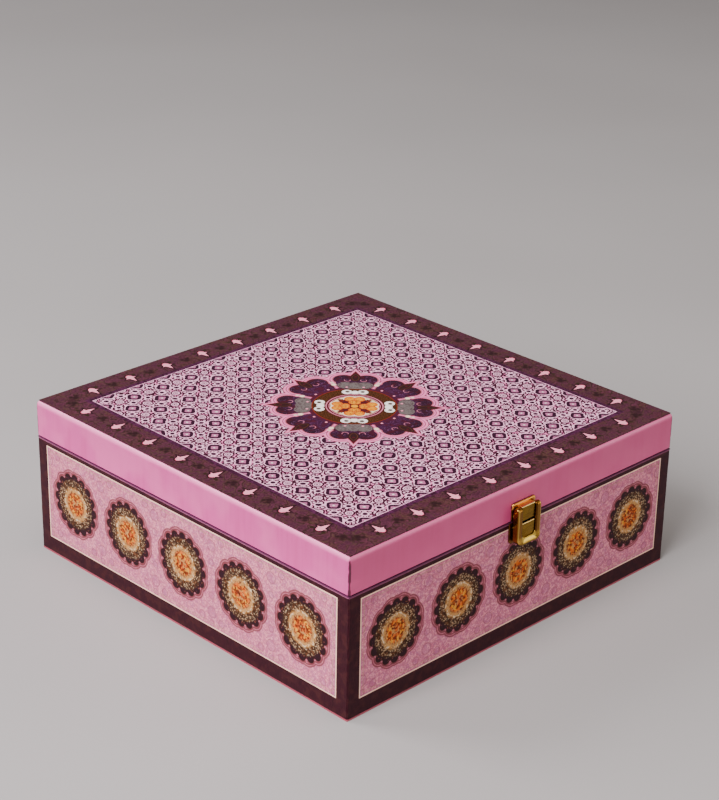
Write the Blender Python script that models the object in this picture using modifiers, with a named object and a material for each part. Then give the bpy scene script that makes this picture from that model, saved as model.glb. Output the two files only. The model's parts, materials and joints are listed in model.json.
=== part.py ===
"""A square hinged-lid hamper box: fibreboard walls under printed paper, brass butt hinges and a brass clasp.

Metres, +Z up. The clasp is on the front, which faces -Y, and the origin is at the middle of the
underside. Run it with: blender --background --python part.py
"""

import math

import bmesh
import bpy
from mathutils import Matrix, Vector

# Box outline
box_width = 0.280
box_depth = 0.280
base_height = 0.0786
seam_gap = 0.0008
lid_height = 0.0238
corner_radius = 0.0010

# Sheet and board thicknesses
board = 0.0050
floor_board = 0.0050
underside_sheet = 0.0009
paper = 0.0004
lining = 0.0008
glue_line = 0.0002

# Paper turned over the lid's top edge, under the printed top sheet
lid_turn_in = 0.0080
print_inset = 0.0012

# Hinges
hinge_width = 0.0250
hinge_inset = 0.0420
leaf_height = 0.0120
leaf = 0.0008
barrel_radius = 0.0016
hinge_pin_radius = 0.00070
hinge_pin_end = 0.0003
knuckle_count = 5
knuckle_gap = 0.0003
leaf_relief = 0.0004
running_gap = 0.0001
leaf_corner = 0.0012

# Hinge screws
screw_spacing = 0.0150
screw_edge = 0.0038
screw_head_radius = 0.0015
screw_head_height = 0.0005
screw_head_rim = 0.0001
screw_shank_radius = 0.0008
screw_tip_length = 0.0010
screw_tip_gap = 0.0008
hole_gap = 0.00010

# Clasp
clasp_width = 0.0200
clasp_top_above_seam = 0.0098
clasp_plate_rise = 0.0016
clasp_plate = 0.0007
clasp_plate_gap = 0.0003
keeper_plate_overhang = 0.0015
clasp_ledge_depth = 0.0014
clasp_ledge_height = 0.0032
rail_width = 0.0041
rail_depth = 0.0044
rail_plate_gap = 0.0010
rail_block_gap = 0.0003
lid_block_recess = 0.0013
keeper_recess = 0.0010
keeper_rise = 0.0015
flap_drop = 0.0241
bar_height = 0.0034
bar_keeper_gap = 0.0003
lip_depth = 0.0013
lip_height = 0.0040
lip_steps = 6
flap_corner = 0.0040
flap_corner_steps = 8
window_corner = 0.0012
flap_top_clearance = 0.0003
clasp_pin_radius = 0.0007
clasp_pin_inset = 0.0003
clasp_edge = 0.00030
clasp_plate_corner = 0.0012

# Clasp brads
brad_head_radius = 0.0010
brad_head_height = 0.0004
brad_head_rim = 0.0001
brad_shank_radius = 0.0005
brad_length = 0.0040
brad_inset = 0.0022
brad_rise = 0.0030

# Cutters and tessellation
overrun = 0.0010
round_sides = 24
small_round_sides = 16
corner_steps = 4
dome_steps = 4
weld_distance = 0.00001
bevel_angle = 35

# Heights and depths that follow from the sizes above
half_width = box_width / 2
half_depth = box_depth / 2
lid_bottom = base_height + seam_gap
lid_top = lid_bottom + lid_height
seam_middle = base_height + seam_gap / 2
board_outer = paper + glue_line
board_inner = board_outer + board
lining_outer = board_inner + glue_line
lining_inner = lining_outer + lining
wall_bottom = underside_sheet + glue_line
wall_top = base_height - paper - glue_line
floor_lining_bottom = wall_bottom + floor_board + glue_line
floor_lining_top = floor_lining_bottom + lining
print_bottom = lid_top - paper
lid_wrap_top = print_bottom - glue_line
lid_board_top = lid_wrap_top - paper - glue_line
lid_board_bottom = lid_board_top - board
rim_board_top = lid_board_bottom - glue_line
rim_board_bottom = lid_bottom + paper + glue_line
lid_lining_bottom = rim_board_top - lining
board_edge = corner_radius - paper

MATERIALS = {
    "board": ((0.42, 0.28, 0.17, 1.0), 0.85, 0.0),
    "plum_print": ((0.38, 0.20, 0.30, 1.0), 0.45, 0.0),
    "top_print": ((0.55, 0.36, 0.47, 1.0), 0.42, 0.0),
    "rose_paper": ((0.70, 0.30, 0.46, 1.0), 0.50, 0.0),
    "lining_paper": ((0.78, 0.46, 0.58, 1.0), 0.65, 0.0),
    "brass": ((0.72, 0.48, 0.16, 1.0), 0.22, 1.0),
}


def clear_scene():
    for obj in list(bpy.data.objects):
        bpy.data.objects.remove(obj, do_unlink=True)


def new_collection(name):
    collection = bpy.data.collections.new(name)
    bpy.context.scene.collection.children.link(collection)
    return collection


def new_material(name):
    colour, roughness, metallic = MATERIALS[name]
    material = bpy.data.materials.new(name)
    material.use_nodes = True
    shader = material.node_tree.nodes["Principled BSDF"]
    shader.inputs["Base Color"].default_value = colour
    shader.inputs["Roughness"].default_value = roughness
    shader.inputs["Metallic"].default_value = metallic
    return material


def new_object(name, bm, place, parent=None, material=None):
    """Makes an object from a bmesh whose origin is at place, a world point, under parent."""
    mesh = bpy.data.meshes.new(name)
    bm.to_mesh(mesh)
    bm.free()
    obj = bpy.data.objects.new(name, mesh)
    parts.objects.link(obj)
    if material:
        mesh.materials.append(materials[material])
    put(obj, place, parent)
    return obj


def put(obj, place, parent):
    """Places obj at a world point under an empty that is itself unturned."""
    obj.parent = parent
    obj.location = Vector(place) - (world_of(parent) if parent else Vector())


def world_of(empty):
    """World place of an unturned empty."""
    return empty.location + (world_of(empty.parent) if empty.parent else Vector())


def new_empty(name, place, parent=None):
    empty = bpy.data.objects.new(name, None)
    empty.empty_display_size = leaf_height
    parts.objects.link(empty)
    put(empty, place, parent)
    return empty


def box_mesh(size):
    """A box of this size round its own middle."""
    bm = bmesh.new()
    bmesh.ops.create_cube(bm, size=1)
    bmesh.ops.scale(bm, vec=size, verts=bm.verts)
    return bm


def box(name, low, high, parent=None, material=None, edge=0):
    """A box between two world corners, with its edges rounded by one flat of width edge."""
    low, high = Vector(low), Vector(high)
    obj = new_object(name, box_mesh(high - low), (low + high) / 2, parent, material)
    if edge:
        add_bevel(obj, edge, 1)
    return obj


def add_bevel(obj, width, segments):
    bevel = obj.modifiers.new("Bevel", "BEVEL")
    bevel.width = width
    bevel.segments = segments
    bevel.limit_method = "ANGLE"
    bevel.angle_limit = math.radians(bevel_angle)
    return bevel


def add_boolean(obj, other, operation="DIFFERENCE"):
    modifier = obj.modifiers.new(operation.title(), "BOOLEAN")
    modifier.operation = operation
    modifier.solver = "EXACT"
    modifier.object = other
    return modifier


def as_cutter(obj):
    """Turns a finished object into a hidden helper for the Booleans."""
    parts.objects.unlink(obj)
    cutters.objects.link(obj)
    obj.hide_render = True
    obj.display_type = "WIRE"
    return obj


def rod(name, start, length, radius, axis, sides, parent=None, material=None):
    """A round bar that starts at a world point and runs length along axis, a unit vector."""
    axis = Vector(axis)
    bm = bmesh.new()
    bmesh.ops.create_cone(
        bm, cap_ends=True, segments=sides, radius1=radius, radius2=radius, depth=length
    )
    bmesh.ops.rotate(bm, verts=bm.verts, matrix=axis.to_track_quat("Z", "Y").to_matrix())
    return new_object(name, bm, Vector(start) + axis * length / 2, parent, material)


def shade_round(obj):
    obj.data.shade_smooth()
    obj.data.set_sharp_from_angle(angle=math.radians(bevel_angle))


def extruded(name, outline, length, place, across, up, parent=None, material=None):
    """A prism round place: outline holds (across, up) points, and it is length deep."""
    across, up = Vector(across), Vector(up)
    along = across.cross(up)
    bm = bmesh.new()
    points = [across * a + up * b - along * length / 2 for a, b in outline]
    face = bm.faces.new([bm.verts.new(p) for p in points])
    grown = bmesh.ops.extrude_face_region(bm, geom=[face])["geom"]
    moved = [g for g in grown if isinstance(g, bmesh.types.BMVert)]
    bmesh.ops.translate(bm, verts=moved, vec=along * length)
    bmesh.ops.recalc_face_normals(bm, faces=bm.faces)
    return new_object(name, bm, place, parent, material)


def arc(centre, radius, start, end, steps):
    """Points on an arc, both ends included, with angles in degrees."""
    turns = [math.radians(start + (end - start) * i / steps) for i in range(steps + 1)]
    return [(centre[0] + radius * math.cos(t), centre[1] + radius * math.sin(t)) for t in turns]


def turned(name, profile, place, direction, sides, parent, material):
    """A turned shape: profile holds (radius, height) from the outer end down, along direction."""
    mesh = bpy.data.meshes.new(name)
    edges = [(i, i + 1) for i in range(len(profile) - 1)]
    mesh.from_pydata([(r, 0, h) for r, h in profile], edges, [])
    mesh.materials.append(materials[material])
    obj = bpy.data.objects.new(name, mesh)
    parts.objects.link(obj)
    screw = obj.modifiers.new("Turn", "SCREW")
    screw.steps = sides
    screw.render_steps = sides
    screw.use_merge_vertices = True
    screw.merge_threshold = weld_distance
    obj.rotation_euler = Vector(direction).to_track_quat("Z", "Y").to_euler()
    put(obj, place, parent)
    return obj


# Walls of the four sides: where each faces, seen from above
SIDES = {
    "front": Vector((0, -1, 0)),
    "back": Vector((0, 1, 0)),
    "left": Vector((-1, 0, 0)),
    "right": Vector((1, 0, 0)),
}


def reach(side):
    """Distance from the middle of the box to the outer face on this side."""
    return half_width if SIDES[side].x else half_depth


def side_board(name, side, bottom, top, parent=None):
    """A wall board. The front and back run the full width, and the sides stand between them."""
    out = SIDES[side]
    along = Vector((abs(out.y), abs(out.x), 0))
    full = abs(out.y) > 0
    end = reach("right") - board_outer if full else reach("back") - board_inner - glue_line
    near = out * (reach(side) - board_inner)
    far = out * (reach(side) - board_outer)
    low = Vector(map(min, near - along * end, far - along * end))
    high = Vector(map(max, near + along * end, far + along * end))
    low.z, high.z = bottom, top
    return box(name, low, high, parent, "board", board_edge)


def side_lining(name, side, profile, parent=None):
    """A lining strip mitred into its neighbours: profile holds (depth from outside, height)."""
    out = SIDES[side]
    along = Vector((-out.y, out.x, 0))
    other = reach("front" if out.x else "left")
    place = out * (reach(side) - lining_inner) + Vector((0, 0, profile[0][1]))
    bm = bmesh.new()
    near = [bm.verts.new(out * (reach(side) - depth) + Vector((0, 0, z))) for depth, z in profile]
    grown = bmesh.ops.extrude_face_region(bm, geom=[bm.faces.new(near)])["geom"]
    far = [g for g in grown if isinstance(g, bmesh.types.BMVert)]
    for way, end in ((-1, near), (1, far)):
        for vert in end:
            depth = reach(side) - vert.co.dot(out)
            vert.co += along * way * (other - depth - glue_line / 2) - place
    bmesh.ops.recalc_face_normals(bm, faces=bm.faces)
    return new_object(name, bm, place, parent, "lining_paper")


def side_wrap(name, bottom, top, material, parent=None, turn_in=0):
    """Paper bent round all four sides, and over the top edge by turn_in when that is given."""
    bm = box_mesh(Vector((box_width, box_depth, top - bottom)))
    upper = [f for f in bm.faces if f.normal.z > 0.5]
    lower = [f for f in bm.faces if f.normal.z < -0.5]
    if turn_in:
        bmesh.ops.inset_region(bm, faces=upper, thickness=turn_in, use_even_offset=True)
    bmesh.ops.delete(bm, geom=upper + lower, context="FACES_ONLY")
    obj = new_object(name, bm, (0, 0, (bottom + top) / 2), parent, material)
    add_bevel(obj, corner_radius, corner_steps)
    solidify = obj.modifiers.new("Paper", "SOLIDIFY")
    solidify.thickness = paper
    solidify.offset = -1
    solidify.use_even_offset = True
    return obj


def pilot_holes(name, places, direction, radius, length):
    """Round holes that start outside the box at each place, as one cutter of separate rods."""
    direction = Vector(direction)
    bm = bmesh.new()
    turn = direction.to_track_quat("Z", "Y").to_matrix().to_4x4()
    for place in places:
        middle = Vector(place) + direction * length / 2
        bmesh.ops.create_cone(
            bm,
            cap_ends=True,
            segments=small_round_sides,
            radius1=radius,
            radius2=radius,
            depth=length,
            matrix=Matrix.Translation(middle) @ turn,
        )
    return as_cutter(new_object(name, bm, (0, 0, 0)))


def build_base():
    """The fixed tray: underside sheet, floor, four walls, printed wrap and paper lining."""
    size = Vector((half_width, half_depth, 0))
    sheet = box_mesh(Vector((box_width, box_depth, underside_sheet)))
    upright = [e for e in sheet.edges if abs(e.verts[0].co.z - e.verts[1].co.z) > underside_sheet / 2]
    bmesh.ops.bevel(
        sheet, geom=upright, offset=corner_radius, segments=corner_steps, affect="EDGES", profile=0.5
    )
    new_object("base_underside_sheet", sheet, (0, 0, underside_sheet / 2), None, "rose_paper")

    inner = board_inner + glue_line
    inset = Vector((inner, inner, 0))
    box(
        "base_floor_board",
        -size + inset + Vector((0, 0, wall_bottom)),
        size - inset + Vector((0, 0, wall_bottom + floor_board)),
        None,
        "board",
    )
    boards = {side: side_board(f"base_{side}_board", side, wall_bottom, wall_top) for side in SIDES}
    wrap = side_wrap("base_side_wrap", wall_bottom, wall_top, "plum_print")
    inset = Vector((lining_outer, lining_outer, 0))
    box(
        "base_floor_lining",
        -size + inset + Vector((0, 0, floor_lining_bottom)),
        size - inset + Vector((0, 0, floor_lining_top)),
        None,
        "lining_paper",
    )
    profile = (
        (lining_inner, floor_lining_top + glue_line),
        (lining_outer, floor_lining_top + glue_line),
        (lining_outer, base_height - paper),
        (0, base_height - paper),
        (0, base_height),
        (lining_inner, base_height),
    )
    for side in SIDES:
        side_lining(f"base_{side}_lining", side, profile)
    return boards, wrap


def build_lid(lid):
    """The lid: top board on four rim boards, rose wrap, printed top sheet and paper lining."""
    size = Vector((half_width, half_depth, 0))
    inset = Vector((board_outer, board_outer, 0))
    box(
        "lid_top_board",
        -size + inset + Vector((0, 0, lid_board_bottom)),
        size - inset + Vector((0, 0, lid_board_top)),
        lid,
        "board",
        board_edge,
    )
    boards = {
        side: side_board(f"lid_{side}_board", side, rim_board_bottom, rim_board_top, lid) for side in SIDES
    }
    wrap = side_wrap("lid_rim_wrap", lid_bottom, lid_wrap_top, "rose_paper", lid, lid_turn_in)
    inset = Vector((print_inset, print_inset, 0))
    box(
        "lid_top_print",
        -size + inset + Vector((0, 0, print_bottom)),
        size - inset + Vector((0, 0, lid_top)),
        lid,
        "top_print",
    )
    inset = Vector((lining_outer, lining_outer, 0))
    box(
        "lid_top_lining",
        -size + inset + Vector((0, 0, lid_lining_bottom)),
        size - inset + Vector((0, 0, rim_board_top)),
        lid,
        "lining_paper",
    )
    profile = (
        (lining_inner, lid_bottom),
        (board_outer, lid_bottom),
        (board_outer, lid_bottom + paper),
        (lining_outer, lid_bottom + paper),
        (lining_outer, lid_lining_bottom - glue_line),
        (lining_inner, lid_lining_bottom - glue_line),
    )
    for side in SIDES:
        side_lining(f"lid_{side}_lining", side, profile, lid)
    return boards, wrap


def hinge_leaf(name, middle, way, owned, parent):
    """One leaf of a butt hinge. way is -1 for the leaf below the pin and 1 for the one above."""
    x, y, z = middle
    back = y - barrel_radius
    plate = box(
        name,
        (x - hinge_width / 2, back, min(z, z + way * leaf_height)),
        (x + hinge_width / 2, back + leaf, max(z, z + way * leaf_height)),
        parent,
        "brass",
    )
    round_outer_corners(plate, way, leaf_corner, leaf)
    length = (hinge_width - knuckle_gap * (knuckle_count - 1)) / knuckle_count
    for i in range(knuckle_count):
        start = x - hinge_width / 2 + i * (length + knuckle_gap)
        if i % 2 == owned:
            knuckle = rod(f"{name}_knuckle_{i}", (start, y, z), length, barrel_radius, (1, 0, 0), round_sides)
            add_boolean(plate, as_cutter(knuckle), "UNION")
        else:
            depth = barrel_radius + leaf_relief
            low = (start - knuckle_gap, back - overrun, z - depth if way < 0 else z - overrun)
            high = (start + length + knuckle_gap, y + overrun, z + overrun if way < 0 else z + depth)
            add_boolean(plate, as_cutter(box(f"{name}_relief_{i}", low, high)))
    bore = rod(
        f"{name}_bore",
        (x - hinge_width / 2 - overrun, y, z),
        hinge_width + 2 * overrun,
        hinge_pin_radius + running_gap,
        (1, 0, 0),
        round_sides,
    )
    add_boolean(plate, as_cutter(bore))
    return plate


def round_outer_corners(plate, way, radius, thickness):
    """Rounds the two upper corners of an upright plate where way is 1, or its lower ones at -1."""
    mesh = plate.data
    weights = mesh.attributes.new("bevel_weight_edge", "FLOAT", "EDGE")
    for edge in mesh.edges:
        a, b = (mesh.vertices[v].co for v in edge.vertices)
        through = abs(a.x - b.x) < thickness / 2 and abs(a.z - b.z) < thickness / 2
        if through and a.z * way > 0:
            weights.data[edge.index].value = 1
    bevel = plate.modifiers.new("Corners", "BEVEL")
    bevel.width = radius
    bevel.segments = corner_steps
    bevel.limit_method = "WEIGHT"


def dome(radius, height, rim):
    """A domed head's (radius, height) points from its middle down to the foot of its upright rim."""
    turns = [math.pi / 2 * i / dome_steps for i in range(dome_steps + 1)]
    points = [(radius * math.sin(t), rim + (height - rim) * math.cos(t)) for t in turns]
    return points + [(radius, 0)]


def screw(name, place, direction, length, parent):
    """A dome-headed screw: place is under its head, direction points out of its head."""
    profile = dome(screw_head_radius, screw_head_height, screw_head_rim) + [
        (screw_shank_radius, 0),
        (screw_shank_radius, screw_tip_length - length),
        (0, -length),
    ]
    return turned(name, profile, place, direction, small_round_sides, parent, "brass")


def brad(name, place, direction, parent):
    """A small round-headed pin driven through a clasp plate into the board behind it."""
    profile = dome(brad_head_radius, brad_head_height, brad_head_rim) + [
        (brad_shank_radius, 0),
        (brad_shank_radius, brad_shank_radius - brad_length),
        (0, -brad_length),
    ]
    return turned(name, profile, place, direction, small_round_sides, parent, "brass")


def build_hinges(lid, base_boards, base_wrap, lid_boards, lid_wrap):
    """Two butt hinges on the outside of the back, with a pin and four screws each."""
    axis_y = half_depth + glue_line + barrel_radius
    screw_start = half_depth + glue_line + leaf + hole_gap
    screw_end = half_depth - board_inner + screw_tip_gap
    length = screw_start - screw_end
    places = {-1: [], 1: []}
    for label, way_x in (("left", -1), ("right", 1)):
        middle = Vector((way_x * (half_width - hinge_inset - hinge_width / 2), axis_y, seam_middle))
        leaves = {
            -1: hinge_leaf(f"{label}_hinge_base_leaf", middle, -1, 0, None),
            1: hinge_leaf(f"{label}_hinge_lid_leaf", middle, 1, 1, lid),
        }
        pin_length = hinge_width + 2 * hinge_pin_end
        pin = rod(
            f"{label}_hinge_pin",
            middle - Vector((pin_length / 2, 0, 0)),
            pin_length,
            hinge_pin_radius,
            (1, 0, 0),
            round_sides,
            None,
            "brass",
        )
        shade_round(pin)
        for way, owner, parent in ((-1, "base", None), (1, "lid", lid)):
            here = []
            for i, side in enumerate((-1, 1)):
                place = Vector(
                    (
                        middle.x + side * screw_spacing / 2,
                        screw_start,
                        seam_middle + way * (leaf_height - screw_edge),
                    )
                )
                screw(f"{label}_hinge_{owner}_screw_{i + 1}", place, (0, 1, 0), length, parent)
                here.append(place + Vector((0, overrun, 0)))
            holes = pilot_holes(
                f"{label}_hinge_{owner}_leaf_holes",
                here,
                (0, -1, 0),
                screw_shank_radius + hole_gap,
                length + overrun + hole_gap,
            )
            add_boolean(leaves[way], holes)
            places[way] += here
    for way, board_obj, wrap in (
        (-1, base_boards["back"], base_wrap),
        (1, lid_boards["back"], lid_wrap),
    ):
        holes = pilot_holes(
            f"{board_obj.name}_screw_holes",
            places[way],
            (0, -1, 0),
            screw_shank_radius + hole_gap,
            length + overrun + hole_gap,
        )
        add_boolean(board_obj, holes)
        add_boolean(wrap, holes)


def clasp_plate_with_block(name, half_plate, heights, block_front, block_heights, way, parent):
    """A clasp plate on the front face with the raised middle block that the flap frames.

    Each pair of heights is the lower and the upper one.
    """
    face = -half_depth - glue_line
    block_half = clasp_width / 2 - rail_width - rail_block_gap
    plate = box(
        name,
        (-half_plate, face - clasp_plate, heights[0]),
        (half_plate, face, heights[1]),
        parent,
        "brass",
    )
    round_outer_corners(plate, way, clasp_plate_corner, clasp_plate)
    block = box(
        f"{name}_block",
        (-block_half, -half_depth - block_front, block_heights[0]),
        (block_half, face - clasp_plate / 2, block_heights[1]),
    )
    add_boolean(plate, as_cutter(block), "UNION")
    return plate


def build_clasp(lid, base_boards, base_wrap, lid_boards, lid_wrap):
    """The brass clasp: hinge plate on the lid, keeper on the base, and the flap that joins them."""
    front = -half_depth
    top = lid_bottom + clasp_top_above_seam
    rail_back = glue_line + clasp_plate + rail_plate_gap
    rail_front = rail_back + rail_depth
    pin_out = (rail_back + rail_front) / 2
    pin_place = Vector((0, front - pin_out, top - flap_top_clearance - rail_depth / 2))
    plate_top = top + clasp_plate_rise
    bottom = top - flap_drop

    flap_axis = new_empty("clasp_flap_axis", pin_place, lid)
    bore_length = clasp_width + 2 * overrun
    bore = as_cutter(
        rod(
            "clasp_bore",
            pin_place - Vector((bore_length / 2, 0, 0)),
            bore_length,
            clasp_pin_radius + running_gap,
            (1, 0, 0),
            round_sides,
        )
    )

    lid_plate = clasp_plate_with_block(
        "clasp_lid_plate",
        clasp_width / 2,
        (lid_bottom + clasp_plate_gap, plate_top),
        rail_front - lid_block_recess,
        (lid_bottom + clasp_plate_gap, top),
        1,
        lid,
    )
    ledge = box(
        "clasp_lid_ledge",
        (-clasp_width / 2, front - glue_line - clasp_ledge_depth, plate_top - clasp_ledge_height),
        (clasp_width / 2, front - glue_line, plate_top),
    )
    round_outer_corners(ledge, 1, clasp_plate_corner, clasp_ledge_height)
    add_boolean(lid_plate, as_cutter(ledge), "UNION")
    keeper_front = rail_front - keeper_recess
    keeper = clasp_plate_with_block(
        "clasp_base_plate",
        clasp_width / 2 + keeper_plate_overhang,
        (bottom, base_height - clasp_plate_gap),
        keeper_front,
        (bottom + keeper_rise, base_height - clasp_plate_gap),
        -1,
        None,
    )

    outline = frame_outline(top, bottom, pin_place.z)
    flap = extruded(
        "clasp_flap",
        outline,
        rail_depth + 2 * lip_depth + 2 * overrun,
        pin_place,
        (1, 0, 0),
        (0, 0, 1),
        flap_axis,
        "brass",
    )
    side = side_outline(bottom - pin_place.z)
    side_shape = extruded(
        "clasp_flap_side_shape", side, clasp_width + 2 * overrun, pin_place, (0, -1, 0), (0, 0, 1)
    )
    add_boolean(flap, as_cutter(side_shape), "INTERSECT")
    # The bar passes in front of the keeper, so its back is cut away between the rails
    window_half = clasp_width / 2 - rail_width
    keeper_room = box(
        "clasp_keeper_room",
        (-window_half, front - keeper_front - bar_keeper_gap, bottom - overrun),
        (window_half, front - rail_back + overrun, bottom + bar_height + window_corner),
    )
    add_boolean(flap, as_cutter(keeper_room))
    add_bevel(flap, clasp_edge, 2)
    add_boolean(flap, bore)
    add_boolean(lid_plate, bore)

    pin_length = clasp_width - 2 * clasp_pin_inset
    pin = rod(
        "clasp_pin",
        pin_place - Vector((pin_length / 2, 0, 0)),
        pin_length,
        clasp_pin_radius,
        (1, 0, 0),
        round_sides,
        lid,
        "brass",
    )
    shade_round(pin)

    head = front - glue_line - clasp_plate - hole_gap
    rows = (
        ("lid", lid, lid_bottom + clasp_plate_gap + brad_rise, lid_plate, lid_boards["front"], lid_wrap),
        ("base", None, base_height - clasp_plate_gap - brad_rise, keeper, base_boards["front"], base_wrap),
    )
    for owner, parent, height, plate, board_obj, wrap in rows:
        here = []
        for label, way in (("left", -1), ("right", 1)):
            place = Vector((way * (clasp_width / 2 - brad_inset), head, height))
            brad(f"clasp_{owner}_brad_{label}", place, (0, -1, 0), parent)
            here.append(place - Vector((0, overrun, 0)))
        holes = pilot_holes(
            f"clasp_{owner}_brad_holes",
            here,
            (0, 1, 0),
            brad_shank_radius + hole_gap,
            brad_length + overrun + hole_gap,
        )
        for target in (plate, board_obj, wrap):
            add_boolean(target, holes)


def frame_outline(top, bottom, pin_height):
    """The flap from the front: two rails and a bottom bar, with its outer corners rounded."""
    half = clasp_width / 2
    inner = half - rail_width
    high = top - pin_height
    low = bottom - pin_height
    bar = low + bar_height
    return (
        [(-half, high)]
        + arc((flap_corner - half, low + flap_corner), flap_corner, 180, 270, flap_corner_steps)
        + arc((half - flap_corner, low + flap_corner), flap_corner, 270, 360, flap_corner_steps)
        + [(half, high), (inner, high)]
        + arc((inner - window_corner, bar + window_corner), window_corner, 0, -90, corner_steps)
        + arc((window_corner - inner, bar + window_corner), window_corner, -90, -180, corner_steps)
        + [(-inner, high)]
    )


def side_outline(low):
    """The flap from the side, round its pin: straight rail, round top and a lip that flares out."""
    half = rail_depth / 2
    flare = [
        (
            half + lip_depth * (1 - math.cos(math.pi * i / lip_steps)) / 2,
            low + lip_height * (1 - i / lip_steps),
        )
        for i in range(lip_steps + 1)
    ]
    return arc((0, 0), half, 180, 0, 2 * lip_steps) + flare + [(-half, low)]


clear_scene()
parts = new_collection("hamper_box")
cutters = new_collection("cutters")
materials = {name: new_material(name) for name in MATERIALS}
hinge_axis = (0, half_depth + glue_line + barrel_radius, seam_middle)
lid_axis = new_empty("lid_hinge_axis", hinge_axis)
made_base = build_base()
made_lid = build_lid(lid_axis)
build_hinges(lid_axis, *made_base, *made_lid)
build_clasp(lid_axis, *made_base, *made_lid)
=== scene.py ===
"""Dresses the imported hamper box: printed papers, fibreboard, brass, and the studio round it.

Pieces and their places are in metres, like the frame. A print is drawn in millimetres on the
object, as a printer would, so every length inside a finish or a motif is in millimetres.
"""

from __future__ import annotations

import json
import logging
import math
from abc import ABC, abstractmethod
from dataclasses import dataclass, replace
from enum import Enum
from functools import cached_property
from typing import Any, Sequence, Union

import bmesh
import bpy
import numpy as np
from mathutils import Matrix, Vector

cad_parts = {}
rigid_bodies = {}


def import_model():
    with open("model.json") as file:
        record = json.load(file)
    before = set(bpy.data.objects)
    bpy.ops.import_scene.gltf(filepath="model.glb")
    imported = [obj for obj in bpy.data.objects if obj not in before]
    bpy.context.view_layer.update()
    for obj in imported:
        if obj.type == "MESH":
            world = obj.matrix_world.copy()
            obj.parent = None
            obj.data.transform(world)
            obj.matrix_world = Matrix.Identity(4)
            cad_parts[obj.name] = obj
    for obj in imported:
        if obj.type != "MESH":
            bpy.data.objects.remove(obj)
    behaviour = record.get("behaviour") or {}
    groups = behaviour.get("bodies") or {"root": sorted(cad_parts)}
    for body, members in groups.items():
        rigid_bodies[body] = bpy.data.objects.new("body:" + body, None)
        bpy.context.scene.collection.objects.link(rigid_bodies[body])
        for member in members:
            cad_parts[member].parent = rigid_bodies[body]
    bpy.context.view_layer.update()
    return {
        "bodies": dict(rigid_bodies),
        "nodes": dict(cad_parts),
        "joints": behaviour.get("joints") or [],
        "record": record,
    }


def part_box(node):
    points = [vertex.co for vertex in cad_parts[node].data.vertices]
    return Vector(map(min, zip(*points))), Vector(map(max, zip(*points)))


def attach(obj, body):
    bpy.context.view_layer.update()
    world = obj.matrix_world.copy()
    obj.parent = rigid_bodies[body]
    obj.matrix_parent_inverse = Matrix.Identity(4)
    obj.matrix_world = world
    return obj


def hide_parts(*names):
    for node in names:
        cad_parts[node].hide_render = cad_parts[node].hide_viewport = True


LOG = logging.getLogger("hamper_box")
MM = 0.001

# Points closer together than this become one
WELD = 1e-7

# The smallest radius of a rounded corner
LEAST_CORNER = 0.00005

# Sockets of a Mix node that mixes colours
MIX_SHARE, MIX_UNDER, MIX_OVER, MIX_RESULT = 0, 6, 7, 2

Colour = tuple[float, float, float, float]
Point = tuple[float, float]
Circle = tuple[float, float, float]
Number = Union["Signal", float, int]
Paint = Union["Ink", "Tone", "Signal"]


def ink(red: int, green: int, blue: int) -> Colour:
    """Turns an 8-bit display colour into the linear colour that a shader takes.

    Args:
        red: Red from 0 to 255.
        green: Green from 0 to 255.
        blue: Blue from 0 to 255.

    Returns:
        The linear colour, opaque.
    """
    shares = [value / 255 for value in (red, green, blue)]
    linear = [s / 12.92 if s <= 0.04045 else ((s + 0.055) / 1.055) ** 2.4 for s in shares]
    return (linear[0], linear[1], linear[2], 1.0)


class Ink(Enum):
    """The printing inks and papers of the box, and the colours of the highlights and shade painted
    on its papers.
    """

    BORDER = ink(72, 32, 49)
    BORDER_BROWN = ink(74, 36, 36)
    BORDER_DARK = ink(36, 9, 18)
    BORDER_PALE = ink(100, 50, 66)
    BAND = ink(64, 20, 50)
    BAND_PALE = ink(88, 34, 72)
    BAND_LINE = ink(176, 104, 164)
    BUD = ink(255, 156, 180)
    BUD_DEEP = ink(206, 66, 104)
    LEAF = ink(42, 28, 12)
    FIELD = ink(246, 122, 182)
    FIELD_PALE = ink(255, 190, 221)
    LATTICE = ink(52, 6, 28)
    RING = ink(46, 9, 34)
    PLUM = ink(40, 14, 33)
    PURPLE = ink(60, 20, 54)
    GREY = ink(108, 98, 96)
    MAROON = ink(78, 16, 26)
    UMBER = ink(54, 25, 4)
    TAN = ink(126, 72, 38)
    CREAM = ink(255, 236, 200)
    WHITE = ink(255, 250, 242)
    ORANGE = ink(214, 84, 10)
    AMBER = ink(240, 160, 20)
    RUST = ink(122, 38, 14)
    OLIVE = ink(80, 60, 42)
    GOLD = ink(194, 136, 72)
    BEIGE = ink(182, 148, 112)
    STRAW = ink(214, 170, 114)
    SIDE_PLUM = ink(54, 17, 28)
    PANEL = ink(218, 128, 146)
    PANEL_DEEP = ink(184, 92, 128)
    PANEL_PALE = ink(240, 156, 172)
    LILAC = ink(180, 104, 142)
    KEYLINE = ink(255, 206, 184)
    MAUVE = ink(186, 96, 112)
    SCALLOP = ink(118, 56, 62)
    WALNUT = ink(46, 18, 20)
    ROSE = ink(214, 76, 152)
    ROSE_DEEP = ink(194, 58, 126)
    ROSE_PALE = ink(226, 96, 162)
    # Painted shade: the rim's front face is tinted a deeper, less blue rose
    ROSE_FRONT_SHADE = ink(210, 78, 124)
    # Painted highlight along the rose rim's rounded top edge
    ROSE_EDGE_HIGHLIGHT = ink(255, 148, 196)
    # Painted shade down the rim's corner creases
    CREASE = ink(70, 6, 34)
    # Painted highlight along the side paper's rounded top edge
    PLUM_EDGE_HIGHLIGHT = ink(206, 120, 160)
    LINING = ink(214, 116, 156)
    # The plum paper turned over the base's walls, made lighter to paint a highlight on that edge
    TURNED_AND_HIGHLIGHT = ink(96, 34, 74)
    FOOT = ink(176, 78, 96)


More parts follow.
